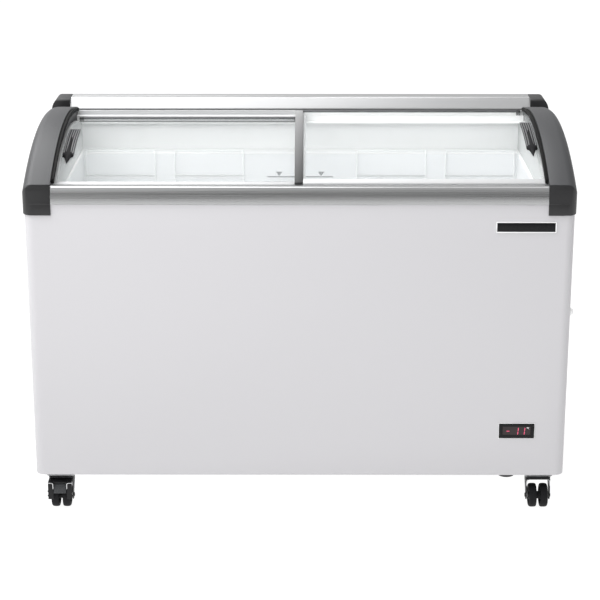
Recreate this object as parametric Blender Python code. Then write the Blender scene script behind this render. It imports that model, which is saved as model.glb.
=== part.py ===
"""Curved sliding-glass chest freezer, built as separate parts.

Metres, +Z up, origin at the middle of the footprint on the floor. The front faces -Y and +X is the
right-hand side for a person standing in front. Most sections are drawn in (depth, height), where depth
is measured back from the front of the cabinet, and are then pulled out along X.
"""
import math

import bmesh
import bpy
from mathutils import Matrix, Vector

# ---------------------------------------------------------------- driving dimensions
WIDTH = 1.320                 # over the end caps
DEPTH = 0.660                 # front corner blocks to rear grille
GAP = 0.0003                  # clearance between pieces that touch
FRONT_Y = -DEPTH / 2
PLUG_PROUD = 0.010            # the cable plug on the right side stands this far off the shell

BODY_HALF = 0.657             # half width of the painted shell
BODY_FRONT = 0.004            # depth of the shell's front face
BODY_BACK = 0.656             # depth of the rear panel's outer face
BODY_CORNER = 0.024           # radius of the shell's front corners
BODY_BOTTOM = 0.106
BODY_TOP = 0.800
SHEET = 0.0015                # shell and liner thickness

ARCH_RADIUS = 0.750           # side view of the curved top
ARCH_DEPTH = 0.375            # depth of its highest point
ARCH_TOP = 0.945
ARCH_CENTRE_Z = ARCH_TOP - ARCH_RADIUS

CAP_OUTER = WIDTH / 2
CAP_INNER = 0.591
CAP_EDGE = 0.027              # width of the rounded outer edge
CAP_DROP_FRONT = 0.040        # how far that edge falls at the front and at the back
CAP_DROP_BACK = 0.028
CAP_SKIRT = 0.774             # the caps overlap the shell down to here
CAP_BACK = 0.5745
CAP_WALL = 0.003

TANK_HALF = 0.5770
TANK_FRONT = 0.0728
TANK_BACK = 0.5432
TANK_FLOOR = 0.175
STEP_X = 0.250                # the tank floor rises over the machine room
STEP_FLOOR = 0.500
ROOM_X = 0.310
ROOM_TOP = 0.440

LOAD_LINE = 0.737             # height of the load limit printed on the tank's back wall

LID_OVERLAP = 0.015           # the lower lid reaches this far past the middle
BAR_LEFT = -0.012             # the upper lid's edge bar
BAR_RIGHT = 0.008
LID_END = 0.5825
GLASS = 0.004
UPPER_GLASS = 0.012           # how far each pane lies under the arch
LOWER_GLASS = 0.030
HANDLE_INNER = 0.552
HANDLE_OUTER = 0.579
HANDLE_FROM = 0.155
HANDLE_TO = 0.315

BASKET_WIDTH = 0.195
BASKET_CENTRES = (-0.4775, -0.2425, 0.2425, 0.4775)
BASKET_RIM = 0.715
BASKET_FLOOR = 0.515
BASKET_WALL = 0.003

CASTER_X = 0.601
CASTER_DEPTHS = (0.075, 0.585)
CASTER_HEIGHT = 0.082
CASTER_TRAIL = 0.018
WHEEL_RADIUS = 0.030
WHEEL_WIDTH = 0.019
WHEEL_GAP = 0.009
PLATE_SIDE = 0.060
FORK_HALF = 0.030

FAN_X = 0.470
FAN_Z = 0.270
FAN_DEPTH = 0.530
FAN_RADIUS = 0.095


# ---------------------------------------------------------------- scene and materials
def clear_scene():
    for obj in list(bpy.data.objects):
        bpy.data.objects.remove(obj, do_unlink=True)


def make_material(name, colour, roughness, metallic=0.0, alpha=1.0):
    material = bpy.data.materials.new(name)
    material.use_nodes = True
    shader = material.node_tree.nodes["Principled BSDF"]
    shader.inputs["Base Color"].default_value = (*colour, 1.0)
    shader.inputs["Roughness"].default_value = roughness
    shader.inputs["Metallic"].default_value = metallic
    shader.inputs["Alpha"].default_value = alpha
    return material


clear_scene()
CABINET = bpy.data.objects.new("cabinet_axes", None)
CABINET.location = (-PLUG_PROUD / 2 + (CAP_OUTER - BODY_HALF) / 2, 0, 0)
bpy.context.collection.objects.link(CABINET)

WHITE = make_material("white_enamel", (0.78, 0.78, 0.77), 0.35)
LINER_WHITE = make_material("liner_white", (0.83, 0.85, 0.86), 0.40)
DARK_PLASTIC = make_material("dark_plastic", (0.045, 0.046, 0.048), 0.45)
GREY_PLASTIC = make_material("grey_plastic", (0.35, 0.36, 0.37), 0.50)
BLACK = make_material("black_plastic", (0.012, 0.012, 0.013), 0.45)
RUBBER = make_material("black_rubber", (0.010, 0.010, 0.010), 0.70)
ALUMINIUM = make_material("satin_aluminium", (0.62, 0.63, 0.64), 0.32, 1.0)
STEEL = make_material("zinc_steel", (0.50, 0.51, 0.52), 0.40, 1.0)
DARK_STEEL = make_material("black_steel", (0.02, 0.02, 0.021), 0.45, 0.3)
COPPER = make_material("copper_fins", (0.45, 0.40, 0.36), 0.40, 1.0)
FOAM = make_material("foam", (0.80, 0.66, 0.38), 0.90)
CLEAR = make_material("clear_glass", (0.90, 0.95, 0.95), 0.03, 0.0, 0.30)
DISPLAY = make_material("display_red", (0.30, 0.01, 0.02), 0.15)


# ---------------------------------------------------------------- mesh helpers
def depth_y(depth):
    return FRONT_Y + depth


def finish(name, bm, material, origin=(0.0, 0.0, 0.0), smooth_angle=35.0):
    """Turn a bmesh drawn in cabinet coordinates into a named object with its origin where asked."""
    bmesh.ops.remove_doubles(bm, verts=bm.verts, dist=1e-6)
    bmesh.ops.recalc_face_normals(bm, faces=bm.faces)
    bmesh.ops.translate(bm, verts=bm.verts, vec=-Vector(origin))
    mesh = bpy.data.meshes.new(name)
    bm.to_mesh(mesh)
    bm.free()
    mesh.shade_smooth()
    mesh.set_sharp_from_angle(angle=math.radians(smooth_angle))
    mesh.materials.append(material)
    obj = bpy.data.objects.new(name, mesh)
    obj.location = origin
    obj.parent = CABINET
    bpy.context.collection.objects.link(obj)
    return obj


def add_loops(bm, loops, closed=False):
    """Skin equal point loops and cap both ends, or join the last loop to the first."""
    rings = [[bm.verts.new(point) for point in loop] for loop in loops]
    count = len(rings[0])
    pairs = list(zip(rings, rings[1:]))
    if closed:
        pairs.append((rings[-1], rings[0]))
    for ring, following in pairs:
        for i in range(count):
            j = (i + 1) % count
            bm.faces.new((ring[i], ring[j], following[j], following[i]))
    if not closed:
        bm.faces.new(list(reversed(rings[0])))
        bm.faces.new(rings[-1])


def add_section(bm, outline, x0, x1):
    """Pull a (depth, height) outline out along X."""
    add_loops(bm, [[(x, depth_y(d), z) for d, z in outline] for x in (x0, x1)])


def add_slab(bm, outline, z0, z1):
    """Pull an (x, depth) outline up from z0 to z1."""
    add_loops(bm, [[(x, depth_y(d), z) for x, d in outline] for z in (z0, z1)])


def add_box(bm, x0, x1, d0, d1, z0, z1):
    add_section(bm, [(d0, z0), (d1, z0), (d1, z1), (d0, z1)], x0, x1)


def section(name, outline, x0, x1, material, **kwargs):
    bm = bmesh.new()
    add_section(bm, outline, x0, x1)
    return finish(name, bm, material, **kwargs)


def slab(name, outline, z0, z1, material, **kwargs):
    bm = bmesh.new()
    add_slab(bm, outline, z0, z1)
    return finish(name, bm, material, **kwargs)


def block(name, x0, x1, d0, d1, z0, z1, material, **kwargs):
    bm = bmesh.new()
    add_box(bm, x0, x1, d0, d1, z0, z1)
    return finish(name, bm, material, **kwargs)


def boxes(name, box_list, material):
    """Several boxes in one mesh, used as a cutter."""
    bm = bmesh.new()
    for box in box_list:
        add_box(bm, *box)
    return finish(name, bm, material)


def turned(name, profile, centre, axis, material, segments=32, origin=None):
    """Turn a (radius, height along axis) profile about an axis through centre."""
    bm = bmesh.new()
    turn = Vector((0, 0, 1)).rotation_difference(Vector(axis)).to_matrix()
    loops = []
    for i in range(segments):
        angle = 2 * math.pi * i / segments
        spoke = Vector((math.cos(angle), math.sin(angle), 0))
        loops.append([Vector(centre) + turn @ (spoke * r + Vector((0, 0, h))) for r, h in profile])
    add_loops(bm, loops, closed=True)
    return finish(name, bm, material, origin=origin or (0.0, 0.0, 0.0))


def combine(obj, tool, operation):
    """Leave a Boolean on obj and hide the tool that it uses."""
    modifier = obj.modifiers.new(operation.lower() + "_" + tool.name, "BOOLEAN")
    modifier.operation = operation
    modifier.solver = "EXACT"
    modifier.object = tool
    tool.hide_render = True
    tool.display_type = "WIRE"
    return obj


def rounded_outline(x0, x1, d0, d1, radius, back_radius, steps=8):
    """Plan outline with front corners of one radius and back corners of another."""
    corners = (
        (x1 - radius, d0 + radius, radius, -90),
        (x1 - back_radius, d1 - back_radius, back_radius, 0),
        (x0 + back_radius, d1 - back_radius, back_radius, 90),
        (x0 + radius, d0 + radius, radius, 180),
    )
    points = []
    for cx, cd, r, start in corners:
        for i in range(steps + 1):
            angle = math.radians(start + 90 * i / steps)
            points.append((cx + r * math.cos(angle), cd + r * math.sin(angle)))
    return points


def arch_height(depth, offset=0.0):
    radius = ARCH_RADIUS - offset
    return ARCH_CENTRE_Z + math.sqrt(radius ** 2 - (depth - ARCH_DEPTH) ** 2)


def spread(start, stop, count):
    return [start + (stop - start) * i / count for i in range(count + 1)]


def arch_band(top, bottom, start, stop, count=24):
    """Outline of a strip between two offsets of the arch, both ends upright."""
    depths = spread(start, stop, count)
    upper = [(d, arch_height(d, top)) for d in depths]
    lower = [(d, arch_height(d, bottom)) for d in reversed(depths)]
    return upper + lower


# ---------------------------------------------------------------- cabinet body
def cabinet_envelope(name, grow, top, bottom=BODY_BOTTOM - 0.02):
    outline = rounded_outline(-BODY_HALF - grow, BODY_HALF + grow, BODY_FRONT - grow, BODY_BACK + grow,
                              BODY_CORNER + grow, 0.004 + grow)
    return slab(name, outline, bottom, top, WHITE)


def build_cabinet():
    inner = BODY_HALF - SHEET
    outer_outline = rounded_outline(-BODY_HALF, BODY_HALF, BODY_FRONT, BODY_BACK, BODY_CORNER, 0.004)
    core_outline = rounded_outline(-inner, inner, BODY_FRONT + SHEET, BODY_BACK + 0.02,
                                   BODY_CORNER - SHEET, 0.004)
    shell = slab("outer_shell", outer_outline, BODY_BOTTOM, BODY_TOP, WHITE)
    combine(shell, slab("cut_shell_core", core_outline, BODY_BOTTOM - 0.01, BODY_TOP + 0.01, WHITE),
            "DIFFERENCE")
    combine(shell, boxes("cut_shell_windows", [
        (BODY_HALF - 0.01, BODY_HALF + 0.01, 0.140, 0.500, 0.140, 0.400),
        (0.4965, 0.5735, -0.01, 0.01, 0.2100, 0.2400),
    ], WHITE), "DIFFERENCE")

    side = inner - GAP
    rear_face = BODY_BACK - SHEET
    rear = block("rear_panel", -side, side, rear_face, BODY_BACK, BODY_BOTTOM, BODY_TOP, WHITE)
    combine(rear, block("cut_rear_window", 0.335, 0.625, 0.60, 0.70, 0.135, 0.415, WHITE), "DIFFERENCE")
    plan = rounded_outline(-side, side, BODY_FRONT + SHEET + GAP, rear_face - GAP,
                           BODY_CORNER - SHEET - GAP, 0.002)
    slab("base_panel", plan, BODY_BOTTOM, BODY_BOTTOM + 0.002, STEEL)

    foam = slab("foam_body", plan, BODY_BOTTOM + 0.002 + GAP, BODY_TOP - GAP, FOAM)
    grow = SHEET + GAP
    combine(foam, boxes("cut_foam_tank", [
        (-TANK_HALF - grow, STEP_X + grow, TANK_FRONT - grow, TANK_BACK + grow,
         TANK_FLOOR - grow, BODY_TOP + 0.01),
    ], FOAM), "DIFFERENCE")
    combine(foam, boxes("cut_foam_step", [
        (STEP_X - 0.01, TANK_HALF + grow, TANK_FRONT - grow, TANK_BACK + grow,
         STEP_FLOOR - grow, BODY_TOP + 0.01),
    ], FOAM), "DIFFERENCE")
    combine(foam, boxes("cut_foam_room", [
        (ROOM_X, BODY_HALF + 0.01, -0.01, DEPTH + 0.01, BODY_BOTTOM - 0.01, ROOM_TOP),
    ], FOAM), "DIFFERENCE")

    build_tank()
    build_grilles()


def tank_outline(grow):
    """Front view of the tank, in (x, z), with the step over the machine room."""
    return [(-TANK_HALF - grow, BODY_TOP + 10 * grow), (-TANK_HALF - grow, TANK_FLOOR - grow),
            (STEP_X + grow, TANK_FLOOR - grow), (STEP_X + grow, STEP_FLOOR - grow),
            (TANK_HALF + grow, STEP_FLOOR - grow), (TANK_HALF + grow, BODY_TOP + 10 * grow)]


def build_tank():
    def tank_solid(name, outline, d0, d1):
        bm = bmesh.new()
        add_loops(bm, [[(x, depth_y(d), z) for x, z in outline] for d in (d0, d1)])
        return finish(name, bm, LINER_WHITE)

    shell_outline = [(x, min(z, BODY_TOP)) for x, z in tank_outline(SHEET)]
    core_outline = [(x, z if z < BODY_TOP else BODY_TOP + 0.01) for x, z in tank_outline(0.0)]
    liner = tank_solid("tank_liner", shell_outline, TANK_FRONT - SHEET, TANK_BACK + SHEET)
    combine(liner, tank_solid("cut_tank", core_outline, TANK_FRONT, TANK_BACK), "DIFFERENCE")

    rim = block("tank_rim", -0.5905, 0.5905, 0.0604, 0.5896, BODY_TOP + GAP, BODY_TOP + 0.0028, LINER_WHITE)
    combine(rim, block("cut_rim", -TANK_HALF - 0.001, TANK_HALF + 0.001, TANK_FRONT - 0.001,
                       TANK_BACK + 0.001, 0.79, 0.82, LINER_WHITE), "DIFFERENCE")
    block("load_line_label", -0.093, 0.093, TANK_BACK - GAP - 0.0008, TANK_BACK - GAP,
          LOAD_LINE - 0.012, LOAD_LINE + 0.016, LINER_WHITE)


def slotted(name, plate_box, slots, material):
    grille = block(name, *plate_box, material)
    return combine(grille, boxes("cut_" + name, slots, material), "DIFFERENCE")


def build_grilles():
    slot_heights = spread(0.150, 0.390, 10)
    rear_slots = [(0.345, 0.615, 0.60, 0.70, z, z + 0.012) for z in slot_heights]
    slotted("rear_grille", (0.325, 0.635, BODY_BACK + GAP, DEPTH, 0.125, 0.425), rear_slots, WHITE)
    side_slots = [(0.60, 0.70, 0.150, 0.490, z, z + 0.012) for z in spread(0.150, 0.378, 9)]
    slotted("side_grille", (BODY_HALF + GAP, CAP_OUTER, 0.130, 0.510, 0.130, 0.410), side_slots, WHITE)


# ---------------------------------------------------------------- top frame
def build_top_frame():
    rail_half = CAP_INNER - 0.0005
    front_rail = [
        (0.0016, BODY_TOP + GAP), (0.0008, 0.815), (0.0012, 0.832), (0.0035, 0.8410), (0.0080, 0.8450),
        (0.0228, 0.8440), (0.0228, BODY_TOP + GAP), (0.0205, BODY_TOP + GAP), (0.0205, 0.8416),
        (0.0088, 0.8424), (0.0056, 0.8395), (0.0036, 0.832), (0.0032, 0.815), (0.0040, BODY_TOP + GAP),
    ]
    section("front_trim_rail", front_rail, -rail_half, rail_half, ALUMINIUM)
    front_track = [
        (0.0232, BODY_TOP + GAP), (0.0600, BODY_TOP + GAP), (0.0600, 0.8250), (0.0405, 0.8250),
        (0.0405, 0.8375), (0.0232, 0.8375),
    ]
    section("front_track", front_track, -rail_half, rail_half, GREY_PLASTIC)
    header = [
        (0.5900, 0.8005), (0.5925, 0.8005), (0.5925, 0.8810), (0.6525, 0.8810), (0.6525, 0.8835),
        (0.5900, 0.8835),
    ]
    section("rear_header", header, -rail_half, rail_half, LINER_WHITE)
    rear_track = [
        (0.5330, 0.8838), (0.6400, 0.8838), (0.6400, 0.8868), (0.5695, 0.8868), (0.5695, 0.9120),
        (0.5642, 0.9120), (0.5642, 0.9012), (0.5468, 0.9012), (0.5468, 0.8862), (0.5330, 0.8862),
    ]
    section("rear_track", rear_track, -rail_half, rail_half, GREY_PLASTIC)
    rear_rail = [
        (0.5700, 0.9124), (0.5700, 0.9160), (0.5985, 0.9385), (0.6030, 0.9405), (0.6480, 0.9405),
        (0.6555, 0.9330), (0.6555, 0.8008), (0.6530, 0.8008), (0.6530, 0.9320), (0.6470, 0.9378),
        (0.6036, 0.9378), (0.6000, 0.9362), (0.5728, 0.9148), (0.5728, 0.9124),
    ]
    rail = section("rear_trim_rail", rear_rail, -0.6110, 0.6110, ALUMINIUM)
    ends = [(*sorted((sign * 0.5905, sign * 0.62)), 0.56, CAP_BACK + 0.0004, 0.80, 0.925) for sign in (-1, 1)]
    combine(rail, boxes("cut_rear_rail_ends", ends, ALUMINIUM), "DIFFERENCE")


def cap_loft(name, sign, inset=0.0, bottom=CAP_SKIRT, stations=26, levels=6):
    """Solid of an end cap: the arch, with an outer edge that rounds off sideways and to the front."""
    bm = bmesh.new()
    back = CAP_BACK - inset
    edge = CAP_EDGE - inset
    across = [(CAP_INNER + inset, 0.0)]
    for i in range(levels + 1):
        angle = math.pi / 2 * i / levels
        across.append((CAP_OUTER - CAP_EDGE + edge * math.sin(angle), 1 - math.cos(angle)))
    loops = []
    for x, fall in across:
        front = inset + edge * fall
        loop = [(sign * x, depth_y(back), bottom), (sign * x, depth_y(front), bottom)]
        for i in range(stations + 1):
            depth = front + (back - front) * (i / stations) ** 1.3
            drop = CAP_DROP_FRONT + (CAP_DROP_BACK - CAP_DROP_FRONT) * depth / CAP_BACK
            loop.append((sign * x, depth_y(depth), arch_height(depth, inset) - (drop - inset) * fall))
        loops.append(loop)
    add_loops(bm, loops)
    return finish(name, bm, DARK_PLASTIC)


def seam_wedge(name, x0, x1, shift):
    """Everything in front of the seam between a corner block and its end cap."""
    seam_slope = math.radians(30)
    along = Vector((math.sin(seam_slope), -math.cos(seam_slope)))
    square = Vector((math.cos(seam_slope), math.sin(seam_slope)))
    start = Vector((0.005, 0.8472)) + square * shift
    top, low = start - along * 0.08, start + along * 0.15
    outline = [tuple(top), (-0.10, top.y), (-0.10, low.y), tuple(low)]
    return section(name, outline, x0, x1, DARK_PLASTIC)


def build_end(side, sign):
    """End cap, front and rear corner blocks, gasket and inner side panel of one end."""
    cap = cap_loft(side + "_end_cap", sign)
    corner = cap_loft(side + "_front_corner", sign)
    x0, x1 = sorted((sign * 0.55, sign * 0.70))
    for obj, operation, shift in ((corner, "INTERSECT", 0.0), (cap, "DIFFERENCE", 0.0004)):
        combine(obj, cap_loft("cut_hollow_" + obj.name, sign, CAP_WALL, 0.770), "DIFFERENCE")
        combine(obj, cabinet_envelope("cut_body_" + obj.name, GAP, BODY_TOP + GAP), "DIFFERENCE")
        combine(obj, seam_wedge("cut_seam_" + obj.name, x0, x1, shift), operation)

    rear_outline = [
        (CAP_BACK + 0.0005, CAP_SKIRT), (CAP_BACK + 0.0005, 0.9350), (0.5800, 0.9410), (0.6400, 0.9420),
        (0.6530, 0.9360), (0.6590, 0.9200), (0.6597, CAP_SKIRT),
    ]
    inner, outer = sign * 0.6115, sign * CAP_OUTER
    rear = section(side + "_rear_corner", rear_outline, min(inner, outer), max(inner, outer), DARK_PLASTIC)
    combine(rear, chamfer_wedge("cut_chamfer_" + side, sign), "DIFFERENCE")
    combine(rear, cabinet_envelope("cut_body_" + rear.name, GAP, BODY_TOP + GAP), "DIFFERENCE")
    hollow = block("cut_hollow_" + rear.name, *sorted((sign * 0.6145, sign * 0.657)), 0.5780, 0.6565,
                   0.770, 0.9250, DARK_PLASTIC)
    combine(rear, hollow, "DIFFERENCE")

    strip = arch_band(0.002, 0.012, 0.026, 0.5638)
    section(side + "_gasket", strip, *sorted((sign * 0.5832, sign * (CAP_INNER - GAP))), RUBBER)
    panel_top = [(d, arch_height(d, 0.037)) for d in spread(0.0604, 0.5320, 20)]
    panel = panel_top + [(0.5322, 0.8830), (0.5896, 0.8830), (0.5896, 0.8031), (0.0604, 0.8031)]
    section(side + "_side_liner", panel, *sorted((sign * 0.5810, sign * (CAP_INNER - GAP))), GREY_PLASTIC)


def chamfer_wedge(name, sign):
    """Takes the outer top edge off a rear corner block."""
    outline = [(sign * 0.640, 0.960), (sign * 0.640, 0.9430), (sign * 0.648, 0.9400), (sign * 0.6555, 0.9320),
               (sign * 0.6595, 0.9200), (sign * 0.6610, 0.9050), (sign * 0.680, 0.9050), (sign * 0.680, 0.960)]
    bm = bmesh.new()
    add_loops(bm, [[(x, depth_y(d), z) for x, z in outline] for d in (0.55, 0.70)])
    return finish(name, bm, DARK_PLASTIC)


# ---------------------------------------------------------------- sliding lids
UPPER_FRONT = [(0.0245, 0.8380), (0.0385, 0.8380), (0.0385, 0.8545), (0.0300, 0.8515), (0.0245, 0.8470)]
UPPER_REAR = [(0.5485, 0.9018), (0.5622, 0.9018), (0.5622, 0.9112), (0.5560, 0.9135), (0.5485, 0.9142)]
LOWER_FRONT = [(0.0425, 0.8255), (0.0565, 0.8255), (0.0565, 0.8430), (0.0480, 0.8400), (0.0425, 0.8355)]
LOWER_REAR = [(0.5330, 0.8866), (0.5460, 0.8866), (0.5460, 0.8965), (0.5400, 0.8985), (0.5330, 0.8992)]


def build_lid(side, x0, x1, edge, glass_offset, front, rear, edge_band):
    """One pane with its two runners and the bar along its inner edge. edge is that bar's (x0, x1)."""
    glass_x = (x0, edge[0] - GAP) if edge[0] > x0 else (edge[1] + GAP, x1)
    start, stop = front[1][0] + GAP, rear[0][0] - GAP
    pane = arch_band(glass_offset, glass_offset + GLASS, start, stop)
    section(side + "_lid_glass", pane, *glass_x, CLEAR)
    frame = section(side + "_lid_frame", front, x0, x1, DARK_PLASTIC)
    combine(frame, section("join_" + side + "_bar", arch_band(*edge_band, front[0][0] + 0.006,
                                                              rear[1][0] - 0.005), *edge, DARK_PLASTIC),
            "UNION")
    combine(frame, section("join_" + side + "_rear", rear, x0, x1, DARK_PLASTIC), "UNION")


def build_handle(side, sign, glass_offset):
    """Ribbed strip on the outer end of a pane with a black finger wedge on it."""
    lift = glass_offset - GAP
    base = arch_band(lift - 0.0035, lift, HANDLE_FROM, HANDLE_TO, 12)
    handle = section(side + "_lid_handle", base, *sorted((sign * HANDLE_INNER, sign * HANDLE_OUTER)), BLACK)
    middle = sign * (HANDLE_INNER + HANDLE_OUTER) / 2
    bm = bmesh.new()
    loops = []
    for depth, half, height in ((0.125, 0.003, 0.0040), (0.150, 0.0125, 0.0070), (0.158, 0.0130, 0.0090),
                                (0.166, 0.0050, 0.0090), (0.252, 0.0015, 0.0050)):
        top = arch_height(depth, lift - height)
        low = arch_height(depth, lift if depth < HANDLE_FROM else lift - 0.0020)
        loops.append([(middle - half, depth_y(depth), low), (middle + half, depth_y(depth), low),
                      (middle + half * 0.8, depth_y(depth), top), (middle - half * 0.8, depth_y(depth), top)])
    add_loops(bm, loops)
    combine(handle, finish("join_" + side + "_grip", bm, BLACK), "UNION")


def build_lids():
    build_lid("left", -LID_END, LID_OVERLAP, (LID_OVERLAP - 0.012, LID_OVERLAP), LOWER_GLASS,
              LOWER_FRONT, LOWER_REAR, (0.0205, 0.0355))
    build_lid("right", BAR_LEFT, LID_END, (BAR_LEFT, BAR_RIGHT), UPPER_GLASS,
              UPPER_FRONT, UPPER_REAR, (0.0090, 0.0180))
    build_handle("left", -1, LOWER_GLASS)
    build_handle("right", 1, UPPER_GLASS)


# ---------------------------------------------------------------- baskets
def build_basket(name, centre):
    """Open basket whose front and rear ends reach up and hook over the tank rim."""
    x0, x1 = centre - BASKET_WIDTH / 2, centre + BASKET_WIDTH / 2
    front, back = TANK_FRONT + 0.004, TANK_BACK - 0.004
    hook = BODY_TOP + 0.0034
    basket = block(name, x0, x1, front, back, BASKET_FLOOR, BASKET_RIM, STEEL)
    wall = BASKET_WALL
    ends = [
        (x0, x1, front, front + wall, BASKET_RIM - 0.02, hook + wall),
        (x0, x1, back - wall, back, BASKET_RIM - 0.02, hook + wall),
    ]
    for i, box in enumerate(ends):
        combine(basket, block(f"join_{name}_end_{i}", *box, STEEL), "UNION")
    hooks = [(x0, x1, TANK_FRONT - 0.007, front + 0.001, hook, hook + wall),
             (x0, x1, back - 0.001, TANK_BACK + 0.009, hook, hook + wall)]
    for i, box in enumerate(hooks):
        combine(basket, block(f"join_{name}_hook_{i}", *box, STEEL), "UNION")
    combine(basket, block("cut_" + name, x0 + wall, x1 - wall, front + wall, back - wall,
                          BASKET_FLOOR + wall, 0.90, STEEL), "DIFFERENCE")


# ---------------------------------------------------------------- casters
def build_caster(name, x, depth, braked):
    """Mounting plate with its swivel race, fork, and two wheels on one axle."""
    y = depth_y(depth)
    half = PLATE_SIDE / 2
    plate_low = CASTER_HEIGHT - 0.0025
    plate = slab(name + "_plate", rounded_outline(x - half, x + half, depth - half, depth + half,
                                                  0.006, 0.006, 3), plate_low, CASTER_HEIGHT, STEEL)
    combine(plate, turned("join_" + name + "_race", [(0, -0.0028), (0.016, -0.0028), (0.018, 0.0005),
                                                     (0, 0.0005)], (x, y, plate_low), (0, 0, 1), STEEL, 24),
            "UNION")

    axle_depth = depth - CASTER_TRAIL
    axle = (x, depth_y(axle_depth), WHEEL_RADIUS)
    web_top = plate_low - 0.0031
    web_low = web_top - 0.0020
    fork = slab(name + "_fork", rounded_outline(x - FORK_HALF, x + FORK_HALF, depth - 0.026, depth + 0.022,
                                                0.004, 0.010, 3), web_low, web_top, DARK_STEEL,
                origin=(x, y, web_top))
    leg = [(depth - 0.026, web_top), (depth + 0.016, web_top), (axle_depth + 0.012, 0.036)]
    leg += [(axle_depth + 0.011 * math.cos(math.radians(a)), WHEEL_RADIUS + 0.011 * math.sin(math.radians(a)))
            for a in range(0, -181, -30)]
    leg += [(axle_depth - 0.012, 0.036)]
    for i, edge in enumerate((-FORK_HALF, FORK_HALF - 0.002)):
        combine(fork, section(f"join_{name}_leg_{i}", leg, x + edge, x + edge + 0.002, DARK_STEEL), "UNION")

    rim = WHEEL_RADIUS
    inner, outer = WHEEL_GAP / 2, WHEEL_GAP / 2 + WHEEL_WIDTH
    half_profile = [(0.006, inner - 0.001), (0.021, inner), (rim - 0.003, inner), (rim, inner + 0.003),
                    (rim, outer - 0.005), (rim - 0.004, outer), (0.020, outer), (0.012, outer + 0.002),
                    (0.004, outer + 0.0025), (0, outer + 0.0025)]
    profile = [(r, -h) for r, h in reversed(half_profile)] + half_profile
    turned(name + "_wheels", list(reversed(profile)), axle, (1, 0, 0), RUBBER, 28, origin=axle)
    if braked:
        pivot = (axle_depth - 0.010, web_low - 0.0035)
        pedal = [(pivot[0], pivot[1] - 0.002), (pivot[0], pivot[1] + 0.0018), (pivot[0] - 0.012, pivot[1] - 0.002),
                 (pivot[0] - 0.027, pivot[1] - 0.020), (pivot[0] - 0.0285, pivot[1] - 0.0225),
                 (pivot[0] - 0.0255, pivot[1] - 0.0225), (pivot[0] - 0.011, pivot[1] - 0.0055)]
        section(name + "_brake_pedal", pedal, x - 0.0155, x + 0.0155, GREY_PLASTIC,
                origin=(x, depth_y(pivot[0]), pivot[1]))


def build_running_gear():
    for side, sign in (("left", -1), ("right", 1)):
        centre = sign * CASTER_X
        top, low = BODY_BOTTOM - GAP, CASTER_HEIGHT + GAP
        half, wall = 0.035, 0.002
        channel = [(centre - half, low), (centre + half, low), (centre + half, top), (centre + half - wall, top),
                   (centre + half - wall, low + wall), (centre - half + wall, low + wall),
                   (centre - half + wall, top), (centre - half, top)]
        bm = bmesh.new()
        add_loops(bm, [[(x, depth_y(d), z) for x, z in channel] for d in (0.052, 0.616)])
        finish(side + "_base_channel", bm, STEEL)
        for place, depth in zip(("front", "rear"), CASTER_DEPTHS):
            build_caster(f"{place}_{side}_caster", centre, depth, (place, side) == ("front", "left"))


# ---------------------------------------------------------------- machine room and small fittings
def build_machine_room():
    block("compressor_tray", ROOM_X + 0.010, 0.640, 0.080, 0.640, BODY_BOTTOM + 0.002 + GAP, 0.112, STEEL)
    body = [(0, 0), (0.052, 0), (0.070, 0.012), (0.078, 0.040), (0.078, 0.105), (0.070, 0.140),
            (0.048, 0.165), (0.015, 0.174), (0, 0.174)]
    pump = turned("compressor", body, (0.480, depth_y(0.240), 0.122), (0, 0, 1), DARK_STEEL, 28)
    combine(pump, block("join_compressor_feet", 0.385, 0.575, 0.205, 0.275, 0.1125, 0.124, DARK_STEEL), "UNION")
    block("condenser", 0.360, 0.600, 0.575, 0.630, 0.1125, 0.410, COPPER)

    centre = (FAN_X, depth_y(FAN_DEPTH), FAN_Z)
    shroud = turned("fan_shroud", [(FAN_RADIUS + 0.006, 0), (FAN_RADIUS + 0.010, 0), (FAN_RADIUS + 0.010, 0.030),
                                   (FAN_RADIUS + 0.006, 0.030)],
                    (FAN_X, depth_y(FAN_DEPTH - 0.012), FAN_Z), (0, 1, 0), BLACK, 32)
    combine(shroud, boxes("join_shroud_stand", [
        (FAN_X - 0.040, FAN_X + 0.040, FAN_DEPTH - 0.010, FAN_DEPTH + 0.016, 0.1125, FAN_Z - FAN_RADIUS - 0.0075),
    ], BLACK), "UNION")
    reach, inside = FAN_RADIUS + 0.0085, FAN_RADIUS + 0.0065
    bracket = [(-reach, -0.0300), (reach, -0.0300), (reach, -0.0080), (inside, -0.0080), (inside, -0.0255),
               (-inside, -0.0255), (-inside, -0.0080), (-reach, -0.0080)]
    combine(shroud, slab("join_motor_bar", [(FAN_X + x, FAN_DEPTH + d) for x, d in bracket],
                         FAN_Z - 0.008, FAN_Z + 0.008, BLACK), "UNION")
    combine(shroud, turned("join_motor", [(0, -0.028), (0.026, -0.028), (0.026, 0.0), (0, 0.0)],
                           (FAN_X, depth_y(FAN_DEPTH - 0.028), FAN_Z), (0, 1, 0), BLACK, 24), "UNION")

    blades = turned("fan_blades", [(0, -0.012), (0.018, -0.012), (0.020, 0.010), (0, 0.012)], centre, (0, 1, 0),
                    GREY_PLASTIC, 24, origin=centre)
    for i in range(5):
        bm = bmesh.new()
        twist = Matrix.Rotation(math.radians(28), 4, "X")
        spin = Matrix.Rotation(2 * math.pi * i / 5, 4, "Y")
        place = Matrix.Translation(centre) @ spin @ Matrix.Translation((0.052, 0, 0)) @ twist
        bmesh.ops.create_cube(bm, size=1.0, matrix=place @ Matrix.Diagonal((0.074, 0.0025, 0.034, 1)))
        combine(blades, finish(f"join_blade_{i}", bm, GREY_PLASTIC), "UNION")


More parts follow.
